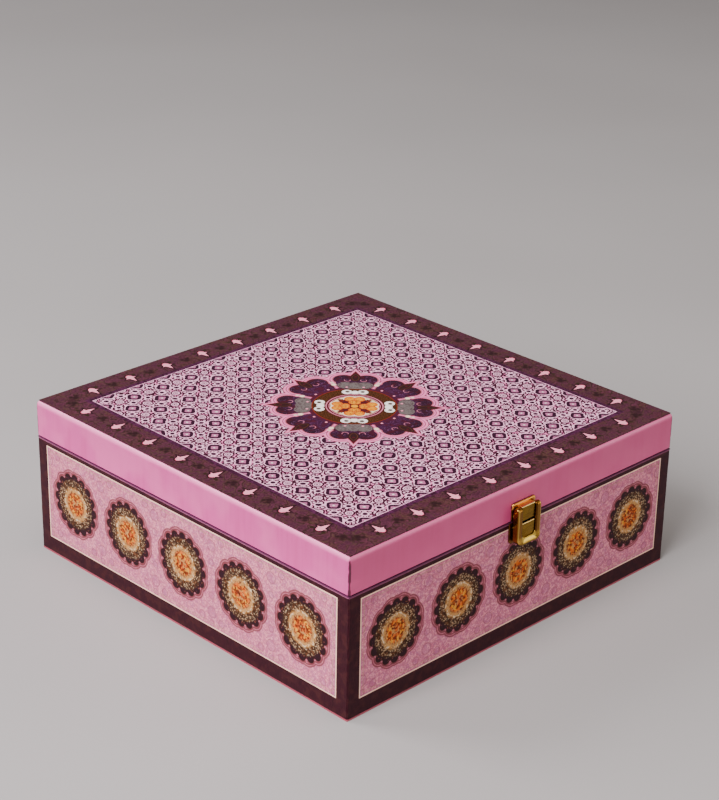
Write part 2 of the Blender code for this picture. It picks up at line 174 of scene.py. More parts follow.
class Tone(Enum):
    """The colours of the brass, the board and the floor, among them the painted reflections, shade
    and highlights on the clasp's brass.
    """

    BRASS = ink(190, 148, 62)
    BRASS_TARNISHED = ink(140, 102, 38)
    # Painted dark reflection over the clasp frame's rails
    RAIL_DARK_REFLECTION = ink(130, 88, 34)
    # Painted shade at the rails' inner edges
    RAIL_INNER_SHADE = ink(74, 38, 16)
    # Painted dark reflection in a band down the rails' middle
    RAIL_MIDDLE_REFLECTION = ink(120, 70, 26)
    # Painted shade on the frame's sides
    RAIL_SIDE_SHADE = ink(126, 86, 38)
    # Painted highlight along the rails' front outer edges
    RAIL_EDGE_HIGHLIGHT = ink(232, 190, 104)
    # Painted highlight on the clasp's lip
    LIP_HIGHLIGHT = ink(220, 186, 82)
    # Painted shade at the lip's foot
    LIP_FOOT_SHADE = ink(128, 96, 36)
    SCREW_RIM = ink(84, 54, 22)
    SCREW_SLOT = ink(34, 20, 8)
    BLOCK = ink(150, 114, 36)
    BLOCK_BRUSHED = ink(100, 72, 18)
    # Painted highlight along the clasp blocks' edges
    BLOCK_EDGE_HIGHLIGHT = ink(250, 216, 140)
    # Painted shade and dark reflection: the clasp plates' darkened ground
    PLATE_SHADED = ink(124, 78, 34)
    # Random tarnish patches, darkened as painted shade too
    PLATE_TARNISH_AND_SHADE = ink(84, 48, 24)
    # Painted reflection of the pink rim on the clasp plates' upper part
    PLATE_TOP_REFLECTION = ink(236, 168, 84)
    BOARD = ink(150, 112, 76)
    BOARD_FIBRE = ink(104, 72, 46)
    BOARD_SPECK = ink(180, 146, 104)
    FLOOR = ink(168, 165, 164)
    FLOOR_CLOUD = ink(164, 161, 160)


class Signal:
    """A number, place or colour that varies over a surface, read from a shader socket.

    Arithmetic on numbers adds the Math nodes that work it out.
    """

    def __init__(self, graph: Graph, socket: bpy.types.NodeSocket) -> None:
        """Wraps a socket of the graph."""
        self.graph = graph
        self.socket = socket

    def __add__(self, other: Number) -> Signal:
        """Sum."""
        return self.graph.math("ADD", self, other)

    __radd__ = __add__

    def __sub__(self, other: Number) -> Signal:
        """Difference."""
        return self.graph.math("SUBTRACT", self, other)

    def __rsub__(self, other: Number) -> Signal:
        """Difference with a plain number first."""
        return self.graph.math("SUBTRACT", other, self)

    def __mul__(self, other: Number) -> Signal:
        """Product."""
        return self.graph.math("MULTIPLY", self, other)

    __rmul__ = __mul__

    def __truediv__(self, other: Number) -> Signal:
        """Quotient."""
        return self.graph.math("DIVIDE", self, other)

    def __abs__(self) -> Signal:
        """Size without its sign."""
        return self.graph.math("ABSOLUTE", self)

    def floor(self) -> Signal:
        """The whole number below it."""
        return self.graph.math("FLOOR", self)

    def lower(self, other: Number) -> Signal:
        """The lower of the two, which joins two shapes given as distances."""
        return self.graph.math("MINIMUM", self, other)

    def higher(self, other: Number) -> Signal:
        """The higher of the two, which keeps what two shapes share."""
        return self.graph.math("MAXIMUM", self, other)

    def folded(self, half: float) -> Signal:
        """Runs from 0 up to half and back, over and over, so that a pattern mirrors and repeats."""
        return self.graph.math("PINGPONG", self, half)

    def inside(self, soft: float = 0.12) -> Signal:
        """1 where this distance is below 0, with an edge of width soft."""
        return self.graph.math("MULTIPLY_ADD", self, -1 / soft, 0.5, clamp=True)

    def line(self, at: float, half: float, soft: float = 0.12) -> Signal:
        """1 on a line where this distance is within half of at."""
        return (abs(self - at) - half).inside(soft)

    def between(self, low: float, high: float, soft: float = 0.12) -> Signal:
        """1 where this distance lies between low and high."""
        return self.line((low + high) / 2, (high - low) / 2, soft)

    def rise(self, low: float, high: float) -> Signal:
        """Goes smoothly from 0 at low to 1 at high."""
        return self.spread(low, high, 0.0, 1.0)

    def spread(self, low: float, high: float, start: float, end: float) -> Signal:
        """Maps low..high smoothly to start..end, and stays there outside.

        Args:
            low: The value that becomes start. It may be above high.
            high: The value that becomes end.
            start: The result on low's side.
            end: The result on high's side.

        Returns:
            The mapped value.
        """
        node = self.graph.add(
            "ShaderNodeMapRange",
            {"interpolation_type": "SMOOTHSTEP"},
            {"Value": self, "From Min": low, "From Max": high, "To Min": start, "To Max": end},
        )
        return Signal(self.graph, node.outputs["Result"])

    def inked(self, *layers: tuple[Paint, float, Number]) -> Signal:
        """Lays inks over this colour, one after another.

        Args:
            layers: For each ink, the ink, how strong it is, and where it goes, from 0 to 1.

        Returns:
            The colour with all the inks.
        """
        art = self
        for paint, strength, where in layers:
            over = paint if isinstance(paint, Signal) else paint.value
            art = self.graph.mixed(where if strength == 1.0 else where * strength, art, over)
        return art

    def deepened(self, amount: Number) -> Signal:
        """Multiplies this colour by a grey of the given amount."""
        grey = self.graph.add("ShaderNodeCombineColor", {}, dict.fromkeys(range(3), amount))
        return self.graph.mixed(1.0, self, Signal(self.graph, grey.outputs[0]), "MULTIPLY")


class Graph:
    """The node tree of one material, which ends in a Principled BSDF."""

    def __init__(self, name: str) -> None:
        """Makes a new material.

        Args:
            name: The material's name.
        """
        self.material = bpy.data.materials.new(name)
        self.material.use_nodes = True
        self.shader = self.material.node_tree.nodes["Principled BSDF"]

    def add(
        self, kind: str, settings: dict[str, Any], inputs: dict[Union[int, str], Any]
    ) -> bpy.types.Node:
        """Adds a node.

        Args:
            kind: The node's type.
            settings: Its own settings, which are set first.
            inputs: A value or a signal for each socket, by name or number.

        Returns:
            The new node.
        """
        node = self.material.node_tree.nodes.new(kind)
        for key, value in settings.items():
            setattr(node, key, value)
        self.feed(node, inputs)
        return node

    def feed(self, node: bpy.types.Node, inputs: dict[Union[int, str], Any]) -> None:
        """Links or sets sockets of a node.

        Args:
            node: The node.
            inputs: A value or a signal for each socket, by name or number.
        """
        for key, value in inputs.items():
            if isinstance(value, Signal):
                self.material.node_tree.links.new(value.socket, node.inputs[key])
            else:
                node.inputs[key].default_value = value

    def math(self, operation: str, *values: Number, clamp: bool = False) -> Signal:
        """Works out numbers with a Math node.

        Args:
            operation: The Math node's operation.
            values: Its numbers or signals, in order.
            clamp: Whether the result is kept from 0 to 1.

        Returns:
            The result.
        """
        settings = {"operation": operation, "use_clamp": clamp}
        node = self.add("ShaderNodeMath", settings, dict(enumerate(values)))
        return Signal(self, node.outputs[0])

    def vector(self, operation: str, *values: Any, output: str = "Vector") -> Signal:
        """Adds a Vector Math node on places or signals."""
        node = self.add("ShaderNodeVectorMath", {"operation": operation}, dict(enumerate(values)))
        return Signal(self, node.outputs[output])

    def mixed(self, share: Number, under: Any, over: Any, blend: str = "MIX") -> Signal:
        """Mixes two colours.

        Args:
            share: How much of the second colour there is, from 0 to 1.
            under: The first colour.
            over: The second colour.
            blend: How the second colour acts on the first.

        Returns:
            The mixed colour.
        """
        settings = {"data_type": "RGBA", "blend_type": blend}
        inputs = {MIX_SHARE: share, MIX_UNDER: under, MIX_OVER: over}
        return Signal(self, self.add("ShaderNodeMix", settings, inputs).outputs[MIX_RESULT])

    def flat(self, paint: Ink | Tone) -> Signal:
        """One colour all over, as the ground that inks are laid on."""
        return self.mixed(0.0, paint.value, paint.value)

    @cached_property
    def here(self) -> Signal:
        """The place on the object in millimetres, from its Object coordinates."""
        place = Signal(self, self.add("ShaderNodeTexCoord", {}, {}).outputs["Object"])
        return self.vector("MULTIPLY", place, (1 / MM,) * 3)

    @cached_property
    def axes(self) -> tuple[Signal, Signal, Signal]:
        """The three numbers of the place."""
        node = self.add("ShaderNodeSeparateXYZ", {}, {0: self.here})
        return tuple(Signal(self, socket) for socket in node.outputs)

    def joined(self, x: Number, y: Number, z: Number = 0.0) -> Signal:
        """A place from three numbers."""
        node = self.add("ShaderNodeCombineXYZ", {}, {0: x, 1: y, 2: z})
        return Signal(self, node.outputs[0])

    def noise(
        self,
        size: float,
        detail: float = 2.0,
        stretch: Sequence[float] = (1, 1, 1),
        place: Signal | None = None,
    ) -> Signal:
        """Cloudy noise from 0 to 1.

        Args:
            size: The size of a cloud in millimetres.
            detail: How many finer layers it has.
            stretch: How much longer the clouds are along each axis.
            place: Where it is read, if not at the place on the object.

        Returns:
            The noise, which is about 0.5 on average.
        """
        scaled = self.vector("MULTIPLY", place or self.here, tuple(1 / s for s in stretch))
        inputs = {"Vector": scaled, "Scale": 1 / size, "Detail": detail}
        return Signal(self, self.add("ShaderNodeTexNoise", {}, inputs).outputs[0])

    def cells(self, size: float) -> Signal:
        """Distance to the nearest of many scattered points, in shares of their spacing."""
        node = self.add("ShaderNodeTexVoronoi", {}, {"Vector": self.here, "Scale": 1 / size})
        return Signal(self, node.outputs["Distance"])

    def relief(self, height: Signal, depth: float) -> None:
        """Raises the surface where height is 1 above where it is 0.

        Args:
            height: The relief, from 0 to 1.
            depth: How high it is, in millimetres.
        """
        bump = self.add(
            "ShaderNodeBump", {}, {"Strength": 1.0, "Distance": depth * MM, "Height": height}
        )
        self.finish({"Normal": Signal(self, bump.outputs["Normal"])})

    def finish(self, inputs: dict[str, Any]) -> None:
        """Sets or links sockets of the Principled BSDF."""
        self.feed(self.shader, inputs)


@dataclass(frozen=True)
class Sketch:
    """A flat drawing plane on a surface, in millimetres, on which ornament is drawn."""

    graph: Graph
    x: Signal
    y: Signal

    def circle(self, x: float, y: float, radius: float) -> Signal:
        """Distance from a circle's line, below 0 inside it.

        Args:
            x: The circle's middle across the plane.
            y: The circle's middle up the plane.
            radius: Its radius.

        Returns:
            The distance.
        """
        here = self.graph.joined(self.x, self.y)
        away = self.graph.vector("DISTANCE", here, (x, y, 0.0), output="Value")
        return away - radius

    def circles(self, *circles: Circle) -> Signal:
        """Distance from the outline of several circles together, below 0 inside it.

        Args:
            circles: Each circle's middle and radius.

        Returns:
            The distance.
        """
        first, *others = [self.circle(*circle) for circle in circles]
        for other in others:
            first = first.lower(other)
        return first

    def block(self, middle_y: float, half_x: float, half_y: float, corner: float) -> Signal:
        """Distance from a rectangle with rounded corners, below 0 inside it.

        Args:
            middle_y: How far up the plane its middle is. Across, it is in the middle.
            half_x: Half its width.
            half_y: Half its height.
            corner: The radius of its corners.

        Returns:
            The distance.
        """
        across = abs(self.x) - (half_x - corner)
        along = abs(self.y - middle_y) - (half_y - corner)
        outer = self.graph.joined(across.higher(0.0), along.higher(0.0))
        length = self.graph.vector("LENGTH", outer, output="Value")
        return length + across.higher(along).lower(0.0) - corner

    def reach(self) -> Signal:
        """Distance from the middle of the plane."""
        here = self.graph.joined(self.x, self.y)
        return self.graph.vector("LENGTH", here, output="Value")

    def petals(self, count: int, turn: float = 0.0) -> Sketch:
        """Folds the plane so that what is drawn near its x axis repeats round the middle.

        Args:
            count: How many times it repeats.
            turn: Where the first one points, in degrees.

        Returns:
            The plane of one half petal: x runs outwards, and y is 0 or more beside it.
        """
        bearing = self.graph.math("ARCTAN2", self.y, self.x)
        angle = (bearing - math.radians(turn)).folded(math.pi / count)
        reach = self.reach()
        cosine = self.graph.math("COSINE", angle)
        sine = self.graph.math("SINE", angle)
        return Sketch(self.graph, reach * cosine, reach * sine)


@dataclass(frozen=True)
class Bud:
    """A small bud: a round cup, two side petals and a spire, on a dark ground with its stem."""

    cup: Circle = (0.0, -1.6, 2.3)
    spire_end: float = 6.2
    spire_slope: float = 3.4
    wing_end: float = 3.8
    wing_at: float = -0.9
    stem_at: float = -6.0
    stem_half: float = 2.3
    sepal: Circle = (4.6, -3.2, 1.3)

    def outline(self, plane: Sketch) -> Signal:
        """Joins the cup, a circle, with the spire and the side petals, which are triangles.

        Args:
            plane: The plane, with x as the distance from the bud's own middle line.

        Returns:
            The distance from the outline, below 0 inside it.
        """
        cup = plane.circle(*self.cup)
        spire = ((plane.x * self.spire_slope + plane.y) - self.spire_end) * 0.28
        spire = spire.higher(-1.5 - plane.y)
        beside = abs(plane.y - self.wing_at - plane.x * 0.30)
        wing = (plane.x + beside * 2.2 - self.wing_end) * 0.42
        return cup.lower(spire).lower(wing)

    def shade(self, plane: Sketch, art: Signal, where: Signal) -> Signal:
        """Draws the dark ground behind a bud, its stem and its sepals.

        Args:
            plane: The bud's plane.
            art: The colour beneath.
            where: Where buds are drawn at all.

        Returns:
            The colour with the ground.
        """
        stem = (plane.x - 0.32).higher(abs(plane.y - self.stem_at) - self.stem_half)
        leaves = stem.lower(plane.circle(*self.sepal))
        return art.inked(
            (Ink.BORDER_DARK, 0.95, (self.outline(plane) - 1.2).inside(0.9) * where),
            (Ink.LEAF, 0.9, leaves.inside(0.4) * where),
        )

    def draw(self, plane: Sketch, art: Signal, where: Signal) -> Signal:
        """Draws the bud on its dark ground.

        Args:
            plane: The bud's plane.
            art: The colour beneath.
            where: Where buds are drawn at all.

        Returns:
            The colour with the bud.
        """
        fold = plane.circle(0.0, -2.4, 1.7).line(0.0, 0.16) * (plane.y + 2.0).inside()
        return self.shade(plane, art, where).inked(
            (Ink.BUD, 1.0, self.outline(plane).inside(0.25) * where),
            (Ink.BUD_DEEP, 1.0, fold * where),
        )


@dataclass(frozen=True)
class Lattice:
    """The field's pattern: rings on a staggered lattice, with beads, dots and curled outlines.

    The plane is folded to a quarter cell, and the far half of that is turned onto the near half,
    so one ring at the corner stands for all of them. The outlines between them are the contour
    lines of a noise that is drawn out across the sheet.
    """

    cell: Point = (23.04, 25.6)
    drift: float = 1.6
    ring_half: float = 4.3
    ring_corner: float = 2.7
    ring_heart: float = 2.15
    dot_radius: float = 1.6
    bead_radius: float = 3.3
    small_bead_radius: float = 1.5
    small_beads: tuple[Point, Point] = ((5.2, 2.6), (2.7, 5.4))
    curl_drawn: Point = (0.34, 0.70)
    curl_size: float = 2.3
    curl_steps: float = 3.6

    def quarter(self, plane: Sketch) -> Sketch:
        """Folds the sheet to the near half of a quarter cell, with lines that waver by the drift.

        Args:
            plane: The sheet's plane.

        Returns:
            The plane of the quarter cell.
        """
        graph = plane.graph
        half_x, half_y = self.cell[0] / 2, self.cell[1] / 2
        waver = graph.noise(5.0, 1.0) * self.drift
        x = (plane.x + waver - self.drift / 2).folded(half_x)
        y = (plane.y - waver + self.drift / 2).folded(half_y)
        far = graph.math("GREATER_THAN", x / half_x + y / half_y, 1.0)
        return Sketch(graph, x + far * (half_x - x * 2), y + far * (half_y - y * 2))

    def draw(self, plane: Sketch) -> Signal:
        """Draws the field: the pale ground and its outlines, then the beads, dots and rings.

        Args:
            plane: The sheet's plane.

        Returns:
            The field's colour.
        """
        graph = plane.graph
        half_x, half_y = self.cell[0] / 2, self.cell[1] / 2
        near = self.quarter(plane)
        diagonal = math.sqrt(0.5)
        tilt = Sketch(graph, (near.x + near.y) * diagonal, (near.x - near.y) * diagonal)
        ring = tilt.block(0.0, self.ring_half, self.ring_half, self.ring_corner)
        dot = near.circle(half_x / 2, half_y / 2, self.dot_radius)
        (low_x, low_y), (high_x, high_y) = self.small_beads
        bead = near.circles(
            (half_x, 0.0, self.bead_radius),
            (0.0, half_y, self.bead_radius),
            (half_x - low_x, low_y, self.small_bead_radius),
            (high_x, half_y - high_y, self.small_bead_radius),
        )
        clear = ring.lower(dot).lower(bead).rise(0.1, 0.4)
        drawn_x, drawn_y = self.curl_drawn
        drawn = graph.joined((plane.x + plane.y) * drawn_x, (plane.x - plane.y) * drawn_y)
        curls = (graph.noise(self.curl_size, 1.0, place=drawn) * self.curl_steps).folded(0.5)
        blush = graph.noise(2.6, 1.0, place=drawn)
        return graph.flat(Ink.FIELD_PALE).inked(
            (Ink.FIELD, 0.85, blush.rise(0.42, 0.60)),
            (Ink.LATTICE, 1.0, (curls - 0.21).inside(0.08) * clear),
            (Ink.FIELD_PALE, 1.0, bead.inside()),
            (Ink.LATTICE, 1.0, (bead + 0.2).line(0.0, 0.55, 0.16)),
            (Ink.LATTICE, 0.9, (bead + 1.8).line(0.0, 0.30, 0.16)),
            (Ink.LATTICE, 1.0, (bead + 2.6).inside(0.3)),
            (Ink.FIELD_PALE, 1.0, (dot - 0.9).inside(0.3)),
            (Ink.RING, 1.0, dot.inside(0.25)),
            (Ink.FIELD_PALE, 1.0, (ring - 0.6).inside(0.2)),
            (Ink.RING, 1.0, ring.inside(0.2)),
            (Ink.LILAC, 1.0, (ring + self.ring_heart).inside(0.3)),
            (Ink.WHITE, 0.9, tilt.circle(0.0, 0.0, 0.6).inside(0.5)),
        )


@dataclass(frozen=True)
class Flower:
    """The medallion's middle: four heart-shaped orange petals on cream, round an amber eye."""

    rim: float = 15.0
    disc: float = 13.2
    petal_end: Circle = (10.9, 3.1, 3.6)
    petal_root: Circle = (5.8, 0.9, 3.0)
    cleft_at: float = 11.2
    ray_at: float = 1.3
    heart: float = 3.0
    eye: float = 2.2

    def draw(self, plane: Sketch, quarter: Sketch, art: Signal) -> Signal:
        """Draws the flower from its cream rim inwards.

        Args:
            plane: The flower's plane.
            quarter: That plane folded to a half petal.
            art: The colour beneath.

        Returns:
            The colour with the flower.
        """
        graph = plane.graph
        petal = quarter.circles(self.petal_end, self.petal_root)
        reach = plane.reach()
        cleft = plane.petals(4).circle(self.cleft_at, 0.0, 1.0)
        tint = graph.noise(2.4).rise(0.4, 0.6)
        dash = (plane.petals(20).y - 1.1).inside(0.4)
        ray = (quarter.y - self.ray_at).line(0.0, 0.30, 0.5) * quarter.x.between(4.6, 9.5, 1.0)
        fleck = graph.noise(1.0, 1.0).rise(0.54, 0.60)
        return art.inked(
            (Ink.CREAM, 1.0, (reach - self.rim).inside(0.2)),
            (Ink.STRAW, 0.5, reach.between(13.4, 14.9, 0.3)),
            (Ink.RUST, 0.9, dash * reach.between(12.9, 14.7, 0.3)),
            (Ink.MAROON, 1.0, (reach - self.disc).inside(0.5)),
            (Ink.CREAM, 1.0, (petal - 0.7).inside(0.3) * (reach - 12.0).rise(-0.6, 0.6)),
            (Ink.RUST, 0.9, cleft.inside(0.5)),
            (Ink.ORANGE, 1.0, petal.inside(0.25)),
            (Ink.AMBER, 1.0, (petal + 0.8).inside(1.6) * (tint * 0.4 + 0.6)),
            (Ink.RUST, 0.6, ray),
            (Ink.RUST, 0.6, fleck * petal.inside(0.4)),
            (Ink.MAROON, 1.0, (reach - self.heart).inside(0.3)),
            (Ink.AMBER, 1.0, (reach - self.eye).inside(0.3)),
        )


@dataclass(frozen=True)
class Medallion:
    """The eight-lobed medallion in the middle of the lid, with the flower in its own middle."""

    lobes: int = 8
    pair: Circle = (41.6, 7.3, 7.0)
    heart: Circle = (35.4, 0.0, 12.4)
    tip_end: float = 55.0
    tip_slope: float = 2.3
    tip_root: float = 46.5
    margin: float = 4.0
    collar: tuple[Circle, Circle] = ((32.4, 6.4, 5.0), (31.0, 0.0, 6.0))
    leaf: Circle = (44.6, -5.4, 8.8)
    hub: float = 29.6
    ring_line: float = 26.8
    ring_edge: float = 26.1
    ring: float = 25.8
    puff: tuple[Circle, Circle] = ((21.8, 5.1, 3.3), (21.0, 0.0, 2.7))
    inner: float = 18.8
    flower: Flower = Flower()

    def draw(self, plane: Sketch, art: Signal) -> Signal:
        """Draws the medallion from its outlines inwards.

        Args:
            plane: The medallion's plane.
            art: The colour beneath.

        Returns:
            The colour with the medallion.
        """
        veins = plane.graph.noise(1.3).rise(0.48, 0.60)
        lobe = plane.petals(self.lobes)
        art = self.petals(lobe, veins, art)
        art = self.collars(plane, lobe, veins, art)
        return self.hoop(plane, art)

    def petals(self, lobe: Sketch, veins: Signal, art: Signal) -> Signal:
        """Draws the lobes: a pair of circles on a heart, with a pointed tip between them.

        Args:
            lobe: The plane of a half lobe.
            veins: The fine marks in the dark inks.
            art: The colour beneath.

        Returns:
            The colour with the lobes and their outlines.
        """
        pair = lobe.circle(*self.pair)
        heart = lobe.circle(*self.heart)
        tip = self.tip(lobe)
        body = pair.lower(heart)
        outline = (body - self.margin).lower(tip - 1.8)
        shade = lobe.graph.noise(4.5)
        within = body.inside(0.3)
        return art.inked(
            (Ink.FIELD, 1.0, (outline - 0.2).inside(0.3)),
            (Ink.SCALLOP, 0.9, outline.line(0.0, 0.26, 0.2)),
            (Ink.BUD, 0.4, outline.line(-1.0, 0.4, 0.4)),
            (Ink.SCALLOP, 0.9, outline.line(-2.0, 0.26, 0.2)),
            (Ink.MAUVE, 1.0, (body - 0.8).lower(tip - 0.4).inside(0.4)),
            (Ink.PURPLE, 1.0, heart.inside(0.3)),
            (Ink.PLUM, 1.0, pair.inside(0.3)),
            (Ink.PURPLE, 0.8, pair.inside(0.3) * lobe.x.rise(45.0, 37.0)),
            (Ink.MAROON, 0.6, within * shade.rise(0.50, 0.62)),
            (Ink.LATTICE, 0.6, within * veins),
            (Ink.BAND_LINE, 0.3, within * shade.line(0.46, 0.006, 0.01)),
        )

    def tip(self, lobe: Sketch) -> Signal:
        """Distance from a lobe's tip: two slanting sides, cut off level at its root."""
        sides = (lobe.y * self.tip_slope + lobe.x - self.tip_end) * 0.40
        return sides.higher(self.tip_root - lobe.x)

    def collars(self, plane: Sketch, lobe: Sketch, veins: Signal, art: Signal) -> Signal:
        """Draws the grey collars of every other lobe, the leaves at the tips and the pearls.

        Args:
            plane: The medallion's plane.
            lobe: The plane of a half lobe.
            veins: The fine marks in the dark inks.
            art: The colour beneath.

        Returns:
            The colour with the collars.
        """
        reach = plane.reach()
        slanting = (plane.petals(4, 45.0).y - plane.petals(4).y).inside(0.3)
        ground = plane.graph.flat(Ink.MAROON).inked((Ink.PURPLE, 1.0, veins * 0.96 + 0.2))
        collar = lobe.circles(*self.collar)
        seam = collar.line(-1.2, 0.18, 0.3) * 0.5 + veins * 0.42
        curl = lobe.circle(40.6, 5.2, 1.9).line(0.0, 0.20, 0.2) * (lobe.x - 41.2).inside(1.0)
        leaf = lobe.circle(*self.leaf).higher(38.8 - lobe.x)
        return art.inked(
            (ground, 1.0, (reach - self.hub).inside(0.8)),
            (Ink.GREY, 1.0, collar.inside(0.4) * slanting),
            (Ink.LATTICE, 1.0, seam * collar.inside() * slanting),
            (Ink.BUD, 0.55, curl),
            (Ink.MAROON, 1.0, self.tip(lobe).inside(0.3)),
            (Ink.WALNUT, 1.0, leaf.inside(0.4)),
            (Ink.TAN, 0.45, leaf.line(-1.1, 0.16, 0.3)),
            (Ink.MAROON, 0.9, lobe.circle(46.0, 0.0, 0.9).inside(0.4)),
            (Ink.CREAM, 0.85, lobe.circle(33.0, 13.8, 1.7).inside(0.8)),
            (Ink.CREAM, 0.7, lobe.circle(36.2, 15.0, 1.1).inside(0.8)),
            (Ink.BUD, 0.9, lobe.circle(29.4, 5.4, 0.8).inside(0.4)),
        )

    def hoop(self, plane: Sketch, art: Signal) -> Signal:
        """Draws the brown ring with its four white puffs, and the flower inside it.

        Args:
            plane: The medallion's plane.
            art: The colour beneath.

        Returns:
            The colour with the ring and the flower.
        """
        reach = plane.reach()
        weave = plane.graph.noise(0.8, 1.0).rise(0.45, 0.62)
        quarter = plane.petals(4, 45.0)
        puff = quarter.circles(*self.puff)
        art = art.inked(
            (Ink.RUST, 1.0, (reach - self.ring_line).inside(0.3)),
            (Ink.UMBER, 1.0, (reach - self.ring_edge).inside(0.2)),
            (Ink.TAN, 0.36, (reach - self.ring).inside(0.2) * weave),
            (Ink.WHITE, 1.0, puff.inside(0.25)),
            (Ink.UMBER, 0.95, quarter.circle(22.2, 4.8, 1.5).inside(0.4)),
            (Ink.BEIGE, 0.6, (puff + 0.5).line(0.0, 0.12, 0.3)),
            (Ink.MAROON, 1.0, (reach - self.inner).inside(0.2)),
            (Ink.BUD, 0.55, reach.between(17.3, 18.1)),
            (Ink.BUD, 0.7, reach.between(15.6, 16.1)),
        )
        return self.flower.draw(plane, quarter, art)


@dataclass(frozen=True)
class Rosette:
    """A round flower of the sides: scalloped outlines, dark lobes, specks and a golden middle."""

    lobes: int = 16
    lobe: Circle = (17.3, 0.0, 3.1)
    scallops: int = 12
    scallop: Circle = (16.0, 0.0, 5.3)
    dark: float = 18.2
    ring: Point = (10.4, 15.9)
    gold: float = 11.0
    middle: float = 8.0
    speck: float = 1.25
    waver: float = 3.0

    def draw(self, plane: Sketch, art: Signal) -> Signal:
        """Draws the outlines round a disc of lobes, the ring of specks, and the golden middle.

        Args:
            plane: The rosette's plane.
            art: The colour beneath.

        Returns:
            The colour with the rosette.
        """
        graph, reach = plane.graph, plane.reach()
        speck = graph.cells(self.speck)
        tint, hue = graph.noise(1.5, 1.0), graph.noise(2.8, 1.0)
        petal = plane.petals(self.lobes)
        lobe = petal.circle(*self.lobe)
        scallop = plane.petals(self.scallops, 180 / self.scallops).circle(*self.scallop)
        scallop = scallop.lower(lobe - 0.4)
        fleck = (speck - 0.32).inside(0.2)
        flecked = fleck * (reach - self.dark - 0.2).inside(0.8)
        ring = reach.between(*self.ring, 1.8)
        uneven = hue * self.waver - self.waver / 2
        edge = reach + uneven
        halo = plane.petals(9).circle(4.8, 0.0, 5.6) + uneven
        pale = tint.rise(0.40, 0.56)
        middle = (edge - self.middle).inside(1.6)
        straw = (speck - 0.34).inside(0.2) * (reach - self.ring[0]).inside(0.5)
        return art.inked(
            (Ink.MAUVE, 0.55, (scallop - 1.4).inside(0.4)),
            (Ink.SCALLOP, 0.8, (lobe - 1.2).inside(0.8)),
            (Ink.SCALLOP, 0.85, scallop.line(0.0, 0.50, 0.4)),
            (Ink.SCALLOP, 0.85, scallop.line(1.5, 0.48, 0.4)),
            (Ink.WALNUT, 1.0, (reach - self.dark).inside(1.0)),
            (Ink.WALNUT, 1.0, (lobe - 0.1).inside(0.3)),
            (Ink.PLUM, 0.45, (lobe + 0.9).inside(1.0)),
            (Ink.SCALLOP, 0.75, flecked * tint.rise(0.44, 0.52)),
            (Ink.TAN, 0.9, flecked * tint.rise(0.52, 0.60)),
            (Ink.BUD, 0.3, petal.circle(18.6, 3.4, 0.5).inside(0.3)),
            (Ink.OLIVE, 0.5, ring),
            (Ink.TAN, 0.5, hue.rise(0.45, 0.6) * ring),
            (Ink.BEIGE, 0.85, (speck - 0.40).inside(0.2) * ring),
            (Ink.CREAM, 0.9, fleck * ring * tint.rise(0.44, 0.58)),
            (Ink.UMBER, 0.9, tint.rise(0.48, 0.58) * ring),
            (Ink.GOLD, 0.95, (edge - self.gold).inside(1.6)),
            (Ink.STRAW, 0.4, (edge - 10.0).inside(1.0) * pale),
            (Ink.UMBER, 0.45, tint.rise(0.54, 0.62) * (edge - 10.8).inside(1.0)),
            (Ink.CREAM, 0.7, halo.line(0.0, 0.5, 1.0) * pale * hue.rise(0.58, 0.44)),
            (Ink.UMBER, 0.6, halo.line(-2.0, 0.4, 0.6) * hue.rise(0.46, 0.58)),
            (Ink.AMBER, 0.7, plane.petals(8).circle(5.0, 1.9, 1.9).inside(0.8)),
            (Ink.STRAW, 0.25, straw),
            (Ink.RUST, 0.8, plane.petals(4).circle(4.3, 0.0, 1.4).inside(0.6)),
            (Ink.ORANGE, 0.75, hue.rise(0.46, 0.56) * middle),
            (Ink.RUST, 0.9, tint.rise(0.48, 0.55) * middle),
            (Ink.UMBER, 0.6, tint.rise(0.60, 0.70) * middle),
        )


class Finish(ABC):
    """A finish that is mixed once and then put on every piece that has it."""

    def material(self) -> bpy.types.Material:
        """Gives this finish's material, made when it is first asked for.

        Returns:
            The material, under the finish's name.
        """
        name = type(self).__name__
        found = bpy.data.materials.get(name)
        if found is None:
            graph = Graph(name)
            self.mix(graph)
            found = graph.material
        return found

    @abstractmethod
    def mix(self, graph: Graph) -> None:
        """Builds the finish's nodes in the graph."""


@dataclass(frozen=True)
class Paper(Finish):
    """A paper, whose sheen follows its texture, with a felt-like grain.

    The sheen is the roughness where the texture is low and where it is high.
    """

    sheen: Point = (0.5, 0.7)
    shine: float = 0.5
    grain: float = 0.03

    def mix(self, graph: Graph) -> None:
        """Inks the paper, and raises its grain, a sum of clouds of 0.3, 1.6 and 14 mm.

        Args:
            graph: The finish's graph.
        """
        art, texture = self.printed(graph)
        graph.finish(
            {
                "Base Color": art,
                "Roughness": texture.spread(0.3, 0.7, *self.sheen),
                "Specular IOR Level": self.shine,
            }
        )
        fine = graph.noise(0.30)
        broad = graph.noise(1.6)
        cockle = graph.noise(14.0, 1.0)
        graph.relief(fine * 0.25 + broad * 0.25 + cockle * 2.0, self.grain)

    @abstractmethod
    def printed(self, graph: Graph) -> tuple[Signal, Signal]:
        """Gives the paper's colour, and the texture that its sheen follows."""

    def mottled(self, art: Signal) -> Signal:
        """Makes the inks of a print a little uneven."""
        return art.deepened(art.graph.noise(2.2, 3.0).spread(0.25, 0.75, 0.90, 1.05))


